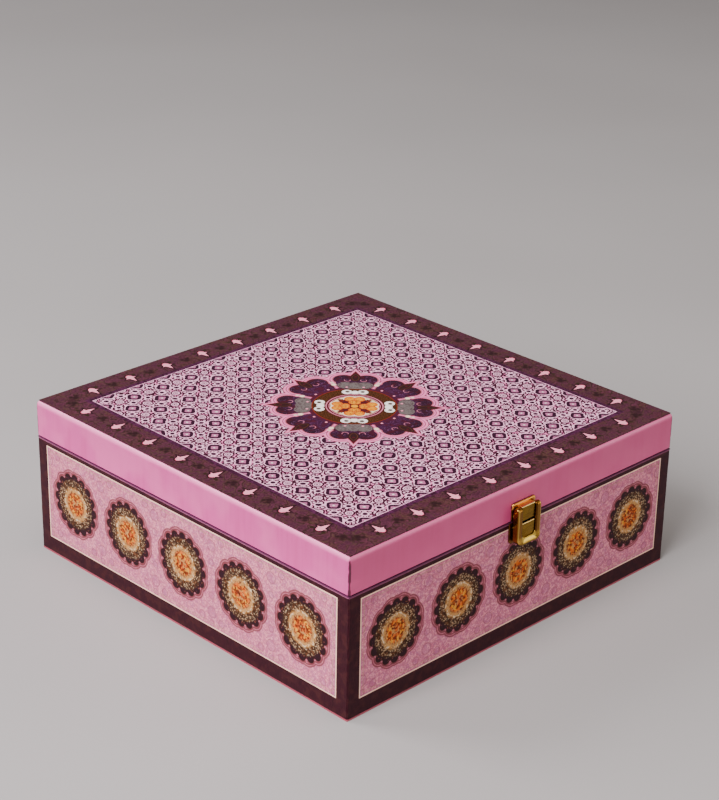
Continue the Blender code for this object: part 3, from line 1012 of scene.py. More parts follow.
@dataclass(frozen=True)
class TopPrint(Paper):
    """The printed sheet on the lid: border of buds, band, lattice field and medallion."""

    sheen: Point = (0.33, 0.44)
    shine: float = 0.28
    grain: float = 0.02
    half: float = 140.0
    field_half: float = 115.2
    band_width: float = 3.4
    bud_pitch: float = 30.0
    bud_inset: float = 12.6
    corner_inset: float = 16.0
    corner_scale: float = 1.2
    bud: Bud = Bud()
    lattice: Lattice = Lattice()
    medallion: Medallion = Medallion()

    def printed(self, graph: Graph) -> tuple[Signal, Signal]:
        """Lays the border, the band, the field and the medallion over each other.

        Args:
            graph: The finish's graph.

        Returns:
            The sheet's colour, and the clouds that its sheen follows.
        """
        x, y, _ = graph.axes
        sheet = Sketch(graph, x, y)
        out = abs(x).higher(abs(y))
        along = abs(x).lower(abs(y))
        edge = out - self.field_half
        tone = graph.noise(1.6)
        band = graph.flat(Ink.BAND).inked(
            (Ink.BORDER_DARK, 0.8, tone.rise(0.5, 0.66)),
            (Ink.BAND_PALE, 0.8, tone.rise(0.5, 0.34)),
        )
        dashes = (along.folded(0.55) - 0.2).inside(0.2)
        art = self.buds(graph, along, self.half - out, self.border(graph)).inked(
            (band, 1.0, (edge - self.band_width).inside(0.6)),
            (self.lattice.draw(sheet), 1.0, edge.inside()),
            (Ink.FIELD_PALE, 1.0, edge.between(-0.5, 0.2) * (0.35 + dashes * 0.5)),
            (Ink.BAND, 0.7, edge.line(-1.1, 0.18)),
        )
        art = self.medallion.draw(sheet, art)
        return self.mottled(art), graph.noise(9.0, 3.0)

    def border(self, graph: Graph) -> Signal:
        """Mixes the dark border's ground from clouds, flecks and faint scrolls.

        Args:
            graph: The finish's graph.

        Returns:
            The border's colour.
        """
        cloud = graph.noise(9.0, 4.0)
        fleck = graph.noise(1.1)
        scroll = graph.noise(5.5, 1.0)
        return graph.flat(Ink.BORDER).inked(
            (Ink.BORDER_BROWN, 0.6, cloud.rise(0.45, 0.65)),
            (Ink.OLIVE, 0.35, cloud.rise(0.62, 0.72)),
            (Ink.BORDER_DARK, 0.5, fleck.rise(0.5, 0.66)),
            (Ink.BORDER_PALE, 0.4, fleck.rise(0.5, 0.34)),
            (Ink.LEAF, 0.7, scroll.line(0.52, 0.022, 0.03)),
            (Ink.OLIVE, 0.6, scroll.line(0.45, 0.018, 0.03)),
            (Ink.BORDER_PALE, 0.6, scroll.line(0.58, 0.014, 0.03)),
        )

    def buds(self, graph: Graph, along: Signal, inward: Signal, art: Signal) -> Signal:
        """Draws the row of buds with a sprig between each two, and a sprig in each corner.

        Args:
            graph: The finish's graph.
            along: Distance along the side from its middle.
            inward: Distance inwards from the edge.
            art: The border's ground.

        Returns:
            The colour with the row.
        """
        half = self.bud_pitch / 2
        side = (along - half).folded(half)
        row = (along - (self.half - self.bud_pitch * 0.75)).inside()
        level = inward - self.bud_inset
        leaf = Sketch(graph, half - side, level)
        blot = leaf.circles((0.0, 1.6, 1.9), (1.9, -0.6, 1.3))
        vine = leaf.circle(0.0, -3.0, 6.4).line(0.0, 0.25, 0.4) * leaf.y.rise(-1.0, 1.5)
        art = art.inked(
            (Ink.LEAF, 0.6, (blot - 0.5).inside(2.0)),
            (Ink.BORDER_DARK, 0.8, blot.inside(1.2)),
            (Ink.LEAF, 0.6, vine),
        )
        x = along - self.half + self.corner_inset
        y = self.corner_inset - inward
        corner = Sketch(graph, abs(x - y) * self.corner_scale, (x + y) * -self.corner_scale)
        art = self.bud.shade(corner, art, (1 - row) * 0.5)
        return self.bud.draw(Sketch(graph, side, level), art, row)


@dataclass(frozen=True)
class SidePrint(Paper):
    """The printed side paper: plum frame, cream keyline and five rosettes on each side."""

    sheen: Point = (0.34, 0.46)
    shine: float = 0.10
    grain: float = 0.02
    panel_half: float = 131.0
    panel_middle: float = 43.2
    panel_half_height: float = 31.9
    panel_corner: float = 0.2
    keyline: float = 0.9
    rosette_pitch: float = 51.6
    rosette_height: float = 43.8
    side_rosettes: float = 2.9
    # Height from which a highlight is painted along the top edge
    edge: float = 77.65
    circles: tuple[Circle, ...] = (
        (0.0, 22.0, 3.6),
        (-8.6, 26.6, 2.4),
        (0.0, 11.0, 2.2),
        (0.0, 29.5, 2.0),
    )
    rosette: Rosette = Rosette()

    def printed(self, graph: Graph) -> tuple[Signal, Signal]:
        """Lays the frame, the panel with its circles and curls, and the rosettes.

        Args:
            graph: The finish's graph.

        Returns:
            The paper's colour, and the clouds that its sheen follows.
        """
        x, y, z = graph.axes
        along = abs(x).lower(abs(y))
        cloud = graph.noise(5.0, 3.0)
        fibre = graph.noise(0.8, 2.0, (1, 1, 4))
        panel = Sketch(graph, along, z).block(
            self.panel_middle, self.panel_half, self.panel_half_height, self.panel_corner
        )
        art = graph.flat(Ink.SIDE_PLUM).inked(
            (Ink.BORDER_DARK, 0.6, fibre.rise(0.4, 0.7)),
            (Ink.BORDER_BROWN, 0.5, cloud.rise(0.45, 0.65)),
            (Ink.KEYLINE, 1.0, panel.inside()),
            (self.ground(graph, along, z, cloud), 1.0, (panel + self.keyline).inside()),
            (Ink.SCALLOP, 0.5, panel.line(-self.keyline - 0.2, 0.14, 0.2)),
            # Painted highlight along the paper's rounded top edge
            (Ink.PLUM_EDGE_HIGHLIGHT, 0.6, (self.edge - z).inside(0.4)),
            (Ink.BEIGE, 0.6, panel.line(-3.0, 0.22, 0.2)),
        )
        turn = (along / self.rosette_pitch + 0.5).lower(self.side_rosettes).floor()
        local = along - turn * self.rosette_pitch
        art = self.rosette.draw(Sketch(graph, local, z - self.rosette_height), art)
        return self.mottled(art), cloud

    def ground(
        self, graph: Graph, along: Signal, height: Signal, cloud: Signal
    ) -> Signal:
        """Mixes the panel's ground, with faint circles between the rosettes and faint curls.

        Args:
            graph: The finish's graph.
            along: Distance along the side from its middle.
            height: Height above the table.
            cloud: The clouds of the whole paper.

        Returns:
            The ground's colour.
        """
        middle = self.rosette_pitch / 2
        plane = Sketch(graph, along.folded(middle), abs(height - self.rosette_height))
        rounds = plane.circles(*[(middle + x, y, radius) for x, y, radius in self.circles])
        weave = graph.noise(0.9)
        curl = graph.noise(3.4, 1.0)
        return graph.flat(Ink.PANEL).inked(
            (Ink.LILAC, 0.5, cloud.rise(0.45, 0.65)),
            (Ink.PANEL_PALE, 0.8, weave.rise(0.50, 0.34)),
            (Ink.PANEL_DEEP, 0.8, weave.rise(0.50, 0.66)),
            (Ink.LILAC, 0.45, rounds.inside(0.6)),
            (Ink.PANEL_DEEP, 0.7, curl.line(0.44, 0.022, 0.02)),
            (Ink.LILAC, 0.7, curl.line(0.52, 0.022, 0.02)),
            (Ink.PANEL_PALE, 0.6, curl.line(0.60, 0.022, 0.02)),
            (Ink.SCALLOP, 0.42, rounds.line(0.0, 0.32, 0.4)),
        )


@dataclass(frozen=True)
class RosePaper(Paper):
    """Plain satin paper in rose pink, creased at the upright corners, with painted shade in the
    creases, on the front face and towards the top, and a painted highlight along the top edge.
    """

    sheen: Point = (0.30, 0.40)
    grain: float = 0.02
    half: float = 140.0
    corner: float = 1.2
    # Width and top of the painted shade down each crease
    crease_reach: float = 0.95
    crease_top: float = 101.8
    # Height from which a highlight is painted along the rim's top edge
    highlight_from: float = 99.6

    def printed(self, graph: Graph) -> tuple[Signal, Signal]:
        """Mixes the paper from upright streaks and soft clouds, paints a highlight along its top
        edge, and paints shade down its creases, over its front face and towards its top.

        Args:
            graph: The finish's graph.

        Returns:
            The paper's colour, and the streaks that its sheen follows.
        """
        x, y, z = graph.axes
        streak = graph.noise(4.0, 2.0, (1, 1, 14))
        cloud = graph.noise(26.0)
        grain = graph.noise(0.5)
        front = (abs(x) + y).inside(0.5)
        art = graph.flat(Ink.ROSE).inked(
            (Ink.ROSE_DEEP, 0.38, streak.rise(0.4, 0.7)),
            (Ink.ROSE_PALE, 0.8, cloud.rise(0.4, 0.62)),
            (Ink.ROSE_DEEP, 0.35, grain.rise(0.5, 0.7)),
            # Painted shade: the front face is tinted a deeper, less blue rose than the left face
            (Ink.ROSE_FRONT_SHADE, 0.7, front),
        )
        # Painted highlight along the rim's rounded top edge, weaker on the front face
        rub_marks_and_edge_highlight = (z + cloud * 0.6 - self.highlight_from).rise(0.0, 2.6)
        # Painted shade down the creases at the upright corners
        crease = self.crease(graph, x, y) * z.rise(self.crease_top, self.crease_top - 2.0)
        # Painted shading: the rim is lighter towards its foot and darker towards its top
        art = art.deepened(z.spread(78.0, 101.0, 1.05, 0.94)).inked(
            (Ink.ROSE_EDGE_HIGHLIGHT, 0.7, rub_marks_and_edge_highlight * (1 - front * 0.6)),
            (Ink.CREASE, 0.95, crease),
        )
        return art, streak

    def crease(self, graph: Graph, x: Signal, y: Signal) -> Signal:
        """Finds where shade is painted down the creases: lines down the corners that wander and
        swell with the height.

        Args:
            graph: The finish's graph.
            x: The place along x.
            y: The place along y.

        Returns:
            How dark the painted shade in the crease is, from 0 to 1.
        """
        wander = graph.noise(6.0, 2.0, (60, 60, 1)) * 1.2 - 0.6
        swell = graph.noise(5.0, 1.0, (80, 80, 1)).spread(0.35, 0.6, -0.2, 0.4)
        beside = abs(abs(x) - abs(y) + wander)
        corner = (self.half - self.corner - abs(x).lower(abs(y))).inside(0.3)
        return (beside - self.crease_reach - swell).inside(0.8) * corner


@dataclass(frozen=True)
class LiningPaper(Paper):
    """Matt pink lining on card inside the box, edged with the outer papers at the seam, in colours
    that also paint shade into the seam and a highlight on the base's edge.
    """

    sheen: Point = (0.60, 0.75)
    inner_half: float = 134.2
    seam: float = 79.0

    def printed(self, graph: Graph) -> tuple[Signal, Signal]:
        """Mixes the lining from fibres and clouds, and the papers turned over the walls' edges,
        whose colours also paint shade into the seam and a highlight on the base's edge.

        Args:
            graph: The finish's graph.

        Returns:
            The lining's colour, and the fibres that its sheen follows.
        """
        x, y, z = graph.axes
        fibre = graph.noise(0.7, 3.0, (3, 1, 1))
        cloud = graph.noise(25.0, 3.0)
        turned = (self.inner_half - abs(x).higher(abs(y))).inside()
        art = graph.flat(Ink.LINING).inked(
            (Ink.PANEL, 0.5, fibre.rise(0.4, 0.7)),
            (Ink.ROSE_PALE, 0.3, cloud.rise(0.4, 0.7)),
            # The outer papers turned over the walls' tops: the lid's in a deeper rose that paints
            # shade into the seam, the base's in a violet lighter than its plum that paints a
            # highlight on its edge
            (Ink.ROSE_DEEP, 1.0, turned * (self.seam - z).inside()),
            (Ink.TURNED_AND_HIGHLIGHT, 1.0, turned * (z - self.seam).inside()),
        )
        return art, fibre


@dataclass(frozen=True)
class FootPaper(Paper):
    """Deep rose paper under the box, scuffed where it slides on the table."""

    def printed(self, graph: Graph) -> tuple[Signal, Signal]:
        """Mixes the paper from clouds and scuffs.

        Args:
            graph: The finish's graph.

        Returns:
            The paper's colour, and the scuffs that its sheen follows.
        """
        scuff = graph.noise(1.2, 3.0, (8, 1, 1))
        art = graph.flat(Ink.FOOT).inked(
            (Ink.SCALLOP, 0.4, graph.noise(20.0, 3.0).rise(0.4, 0.7)),
            (Ink.BEIGE, 0.4, scuff.rise(0.62, 0.75)),
        )
        return art, scuff


@dataclass(frozen=True)
class Fibreboard(Finish):
    """Medium density fibreboard, as the cut boards show it."""

    relief: float = 0.05

    def mix(self, graph: Graph) -> None:
        """Mixes the board from short fibres and fine specks.

        Args:
            graph: The finish's graph.
        """
        fibre = graph.noise(0.5, 4.0, (2, 1, 1))
        speck = graph.cells(0.8)
        art = graph.flat(Tone.BOARD).inked(
            (Tone.BOARD_FIBRE, 0.6, fibre.rise(0.4, 0.7)),
            (Tone.BOARD_SPECK, 0.5, (speck - 0.2).inside(0.2)),
        )
        graph.finish({"Base Color": art, "Roughness": fibre.spread(0.3, 0.7, 0.78, 0.92)})
        graph.relief(fibre, self.relief)


@dataclass(frozen=True)
class Brass(Finish):
    """Polished brass with fine rubbing marks and duller, darker patches."""

    relief: float = 0.0006

    def mix(self, graph: Graph) -> None:
        """Mixes the metal from rubbing marks and tarnish.

        Args:
            graph: The finish's graph.
        """
        rub_marks_and_edge_highlight = graph.noise(0.25, 2.0, (1, 1, 10))
        tarnish = graph.noise(3.0)
        art = graph.flat(Tone.BRASS).inked((Tone.BRASS_TARNISHED, 0.5, tarnish.rise(0.45, 0.75)))
        graph.finish(
            {
                "Base Color": self.shaded(graph, art),
                "Metallic": 1.0,
                "Roughness": (rub_marks_and_edge_highlight * 0.4 + tarnish * 0.6).spread(0.3, 0.7, 0.16, 0.28),
            }
        )
        graph.relief(rub_marks_and_edge_highlight, self.relief)

    def shaded(self, graph: Graph, art: Signal) -> Signal:
        """Gives the plain brass's colour, over which a subclass paints its own marks."""
        return art


@dataclass(frozen=True)
class PaintedLightBrass(Brass):
    """Brass of the clasp's frame, with painted highlights at its front outer edges and on its lip,
    and painted dark reflections and shade on its rails and at its sides.
    """

    outer: float = 10.0
    inner: float = 5.9
    lip_top: float = 69.0

    def shaded(self, graph: Graph, art: Signal) -> Signal:
        """Paints dark reflections and shade on the rails, darkest at their inner edges and sides,
        and paints highlights on their front outer edges and on the lip.

        Args:
            graph: The finish's graph.
            art: The plain brass's colour.

        Returns:
            The colour with the painted reflections, shade and highlights.
        """
        x, _, z = graph.axes
        out = abs(x)
        rail = z.rise(self.lip_top - 0.5, self.lip_top + 2.5)
        return art.inked(
            # Painted dark reflection over the rails
            (Tone.RAIL_DARK_REFLECTION, 0.8, rail),
            # Painted shade at the rails' inner edges
            (Tone.RAIL_INNER_SHADE, 0.85, (out - self.inner - 0.9).inside(0.8) * rail),
            # Painted dark reflection in a band down the rails' middle
            (Tone.RAIL_MIDDLE_REFLECTION, 0.5, out.line(self.inner + 2.0, 0.6, 1.2) * rail),
            # Painted shade on the frame's sides
            (Tone.RAIL_SIDE_SHADE, 0.7, (self.outer - 0.12 - out).inside(0.2)),
            # Painted highlight on the lip
            (Tone.LIP_HIGHLIGHT, 1.0, (out - self.inner).inside(1.2) * (1 - rail)),
            # Painted shade at the lip's foot
            (Tone.LIP_FOOT_SHADE, 0.85, (z - self.lip_top + 2.0).inside(1.2)),
            # Painted highlight along the rails' front outer edges
            (Tone.RAIL_EDGE_HIGHLIGHT, 0.6, out.line(self.outer - 0.75, 0.28, 0.3)),
        )


@dataclass(frozen=True)
class SlottedBrass(Brass):
    """Brass of the hinges' screws, with a turned slot across each head."""

    hinge: float = 0.0
    apart: float = 0.0
    seam: float = 0.0
    rise: float = 0.0
    rim: float = 1.35
    slot_way: Point = (0.6, 0.8)
    slot_half: float = 0.22

    def shaded(self, graph: Graph, art: Signal) -> Signal:
        """Draws the slots, and dulls the heads' rims.

        Args:
            graph: The finish's graph.
            art: The plain brass's colour.

        Returns:
            The colour with the slots.
        """
        x, _, z = graph.axes
        across = abs(abs(x) - self.hinge) - self.apart
        head = Sketch(graph, across, abs(z - self.seam) - self.rise)
        slot = head.x * self.slot_way[0] + head.y * self.slot_way[1]
        return art.inked(
            (Tone.SCREW_RIM, 0.6, head.reach().line(self.rim, 0.15, 0.1)),
            (Tone.SCREW_SLOT, 1.0, slot.line(0.0, self.slot_half, 0.06)),
        )


@dataclass(frozen=True)
class BrushedBrass(Finish):
    """Brass of the clasp's plates, whose blocks are darker and brushed level; the plates' ground is
    darkened as painted shade, with a painted reflection on their upper part and painted highlights
    along the blocks' edges.
    """

    block_half: float = 5.75
    block_front: float = 144.5
    # Heights of the highlights painted along the blocks' edges
    highlight_low: float = 78.05
    highlight_high: float = 88.95
    relief: float = 0.004

    def mix(self, graph: Graph) -> None:
        """Mixes the metal from level brush lines and tarnish on a ground darkened as painted shade,
        paints a reflection on the plates' upper part, and paints highlights along the blocks'
        edges.

        Args:
            graph: The finish's graph.
        """
        x, y, z = graph.axes
        brush = graph.noise(0.16, 3.0, (40, 40, 1))
        tarnish = graph.noise(3.0, 3.0)
        block = (abs(x) - self.block_half).inside() * (y + self.block_front).inside()
        dark = graph.flat(Tone.BLOCK).inked((Tone.BLOCK_BRUSHED, 1.0, brush.rise(0.4, 0.65)))
        # Painted shade and dark reflections: the plates' ground is darkened, with random tarnish
        # patches
        art = graph.flat(Tone.PLATE_SHADED).inked(
            (Tone.PLATE_TARNISH_AND_SHADE, 1.0, tarnish.rise(0.4, 0.7)),
            # Painted reflection of the pink rim on the plates' upper part
            (Tone.PLATE_TOP_REFLECTION, 0.9, z.rise(86.5, 88.0)),
            (dark, 1.0, block),
            # Painted highlights along the blocks' lower and upper edges
            (Tone.BLOCK_EDGE_HIGHLIGHT, 0.9, z.line(self.highlight_low, 0.30, 0.2) * block),
            (Tone.BLOCK_EDGE_HIGHLIGHT, 0.9, z.line(self.highlight_high, 0.30, 0.2) * block),
        )
        roughness = brush.spread(0.3, 0.7, 0.24, 0.36)
        graph.finish({"Base Color": art, "Metallic": 1.0, "Roughness": roughness})
        graph.relief(brush * block, self.relief)


@dataclass(frozen=True)
class PaleFloor(Finish):
    """The plain pale floor."""

    cloud_size: float = 400.0
    fleck_size: float = 1.5

    def mix(self, graph: Graph) -> None:
        """Mixes an even, slightly clouded matt grey.

        Args:
            graph: The finish's graph.
        """
        cloud = graph.noise(self.cloud_size, 2.0)
        fleck = graph.noise(self.fleck_size, 2.0)
        art = graph.flat(Tone.FLOOR).inked((Tone.FLOOR_CLOUD, 1.0, cloud.rise(0.3, 0.7)))
        graph.finish({"Base Color": art, "Roughness": fleck.spread(0.3, 0.7, 0.7, 0.8)})


def dress(node: bpy.types.Object, finish: Finish) -> None:
    """Puts a finish on every material slot of a piece.

    Args:
        node: The piece.
        finish: Its finish.
    """
    if not node.material_slots:
        node.data.materials.append(finish.material())
    for slot in node.material_slots:
        slot.material = finish.material()


def skin(name: str, rings: np.ndarray, closed: bool, sharp: float = 35.0) -> bpy.types.Object:
    """Makes a closed piece by joining rings of points.

    Args:
        name: The piece's name.
        rings: Places in metres, as an array of rings, points in a ring, and x, y, z.
        closed: Whether the last ring joins the first. If not, both end rings are capped.
        sharp: The angle in degrees above which an edge stays sharp.

    Returns:
        The piece, linked to the scene, with its normals outward.
    """
    count, around = rings.shape[:2]
    row = np.arange(count if closed else count - 1)[:, None] * around
    after = (row + around) % (count * around)
    column = np.arange(around)[None, :]
    beside = (column + 1) % around
    faces = np.stack([row + column, row + beside, after + beside, after + column], axis=-1)
    polygons = faces.reshape(-1, 4).tolist()
    if not closed:
        last = (count - 1) * around
        polygons += [list(range(around))[::-1], list(range(last, last + around))]
    mesh = bpy.data.meshes.new(name)
    mesh.from_pydata(rings.reshape(-1, 3).tolist(), [], polygons)
    work = bmesh.new()
    work.from_mesh(mesh)
    bmesh.ops.remove_doubles(work, verts=work.verts, dist=WELD)
    bmesh.ops.recalc_face_normals(work, faces=work.faces)
    work.to_mesh(mesh)
    work.free()
    mesh.shade_smooth()
    mesh.set_sharp_from_angle(angle=math.radians(sharp))
    piece = bpy.data.objects.new(name, mesh)
    bpy.context.scene.collection.objects.link(piece)
    return piece


def merged(name: str, pieces: Sequence[bpy.types.Object]) -> bpy.types.Object:
    """Joins finished pieces into one, which takes the first one's object.

    Args:
        name: The joined piece's name.
        pieces: The pieces to join.

    Returns:
        The joined piece.
    """
    first, *others = pieces
    work = bmesh.new()
    for piece in pieces:
        work.from_mesh(piece.data)
    work.to_mesh(first.data)
    work.free()
    for other in others:
        bpy.data.meshes.remove(other.data)
    first.name = name
    first.data.name = name
    return first


def arc(start: float, end: float, steps: int) -> np.ndarray:
    """Directions from start to end degrees, as steps + 1 points of a unit circle."""
    angle = np.radians(np.linspace(start, end, steps + 1))
    return np.stack([np.cos(angle), np.sin(angle)], axis=-1)


@dataclass
class PaperWrap:
    """Paper bent round the four sides of the box, and over its edges.

    The wrap's section is a line of (inset, height) from its upper end to its lower one. Each of
    its points becomes a ring round the box, a rounded square, and the paper's inner face follows
    the outer one at the paper's thickness.
    """

    half: float
    corner: float = 0.0010
    thickness: float = 0.0004
    foot_sweep: float = -80.0
    crease_depth: float = 0.00030
    crease_spread: float = 14.0
    crease_wave: float = 0.0036
    crease_swing: Point = (13.0, 7.0)
    least_groove: float = 0.00002
    shoulder_steps: int = 12
    face_steps: int = 50
    foot_steps: int = 4
    corner_steps: int = 22
    side_steps: int = 24

    def section(
        self, top: float, bottom: float, upper: float, lower: float, turn_in: float, fall: float
    ) -> np.ndarray:
        """Draws the outer line: in over the top, down the face and under the bottom edge.

        Args:
            top: Height of the upper edge.
            bottom: Height of the lower edge.
            upper: Radius of the turn at the upper edge, seen from above.
            lower: Radius of the turn at the lower edge.
            turn_in: How far the paper reaches in over the top.
            fall: How far down the face the upper turn reaches.

        Returns:
            The line's points as (inset, height).
        """
        over = np.array([[turn_in, top]])
        shoulder = arc(90.0, 0.0, self.shoulder_steps) * [-upper, fall] + [upper, top - fall]
        heights = np.linspace(top - fall, bottom + lower, self.face_steps)[1:-1]
        face = np.stack([np.zeros_like(heights), heights], axis=-1)
        foot = arc(0.0, self.foot_sweep, self.foot_steps) * lower * [-1, 1]
        return np.concatenate([over, shoulder, face, foot + [lower, bottom + lower]])

    def rings(self, line: np.ndarray) -> np.ndarray:
        """Carries a line of (inset, height) round the box, with a crease down each corner.

        The crease is a groove whose middle wanders round the corner as a sum of two sines of the
        height, and its depth falls off as a bell curve on both sides.

        Args:
            line: The line's points as (inset, height).

        Returns:
            The rings' points.
        """
        inset, height = line[:, 0, None, None, None], line[:, 1, None, None]
        radius = np.maximum(self.corner - inset, LEAST_CORNER)
        turn = np.degrees(np.linspace(0, np.pi / 2, self.corner_steps + 1))
        quarter = np.arange(4)[:, None] * 90.0
        angle = np.radians(turn + quarter)
        way = np.stack([np.cos(angle), np.sin(angle)], axis=-1)[None]
        wave = height / self.crease_wave + quarter * 0.05
        broad, fine = self.crease_swing
        middle = 45.0 + broad * np.sin(wave) + fine * np.sin(wave * 2.3 + 1.0)
        groove = np.exp(-(((turn - middle) / self.crease_spread) ** 2))
        groove = groove[..., None] * self.crease_depth * (inset < self.corner)
        bend = np.maximum(radius - groove, self.least_groove)
        corners = np.sign(way[:, :, 1:2, :]) * (self.half - inset - radius) + way * bend
        share = np.linspace(0, 1, self.side_steps + 1)[1:-1, None]
        start = corners[:, :, -1:, :]
        end = np.roll(corners, -1, axis=1)[:, :, :1, :]
        sides = start * (1 - share) + end * share
        flat = np.concatenate([corners, sides], axis=2).reshape(len(line), -1, 2)
        upright = np.broadcast_to(line[:, 1, None, None], (*flat.shape[:2], 1))
        return np.concatenate([flat, upright], axis=-1)

    def build(self, name: str, line: np.ndarray) -> bpy.types.Object:
        """Makes the paper from its outer line.

        Args:
            name: The piece's name.
            line: The outer line from section().

        Returns:
            The piece.
        """
        slope = np.gradient(line, axis=0)
        slope /= np.linalg.norm(slope, axis=1, keepdims=True)
        inner = line + np.stack([-slope[:, 1], slope[:, 0]], axis=-1) * self.thickness
        return skin(name, self.rings(np.concatenate([line, inner[::-1]])), closed=True)


@dataclass
class BrassPlate:
    """A flat brass plate against the front, with a rounded outline and eased front edges."""

    half_width: float
    bottom: float
    top: float
    back: float
    front: float
    lower_corner: float = 0.0003
    upper_corner: float = 0.0003
    edge: float = 0.0002
    corner_steps: int = 6
    edge_steps: int = 4

    def outline(self, inset: float) -> np.ndarray:
        """Draws the outline, a rectangle with a quarter circle at each corner.

        Args:
            inset: How far it is drawn in.

        Returns:
            Its points as (x, z).
        """
        width = self.half_width - inset
        low, high = self.bottom + inset, self.top - inset
        lower = max(self.lower_corner - inset, LEAST_CORNER)
        upper = max(self.upper_corner - inset, LEAST_CORNER)
        corners = (
            (0, upper, [width - upper, high - upper]),
            (90, upper, [upper - width, high - upper]),
            (180, lower, [lower - width, low + lower]),
            (270, lower, [width - lower, low + lower]),
        )
        turns = [arc(at, at + 90, self.corner_steps) * r + middle for at, r, middle in corners]
        return np.concatenate(turns)

    def build(self, name: str, face: float) -> bpy.types.Object:
        """Makes the plate.

        Args:
            name: The piece's name.
            face: Distance of the box's front face from the middle.

        Returns:
            The piece.
        """
        turn = arc(0, 90, self.edge_steps)
        steps = [(0.0, self.back)]
        steps += [(self.edge * (1 - c), self.front - self.edge * (1 - s)) for c, s in turn]
        rings = []
        for inset, out in steps:
            flat = self.outline(inset)
            depth = np.full(len(flat), -face - out)
            rings.append(np.stack([flat[:, 0], depth, flat[:, 1]], axis=-1))
        return skin(name, np.array(rings), closed=False, sharp=50.0)


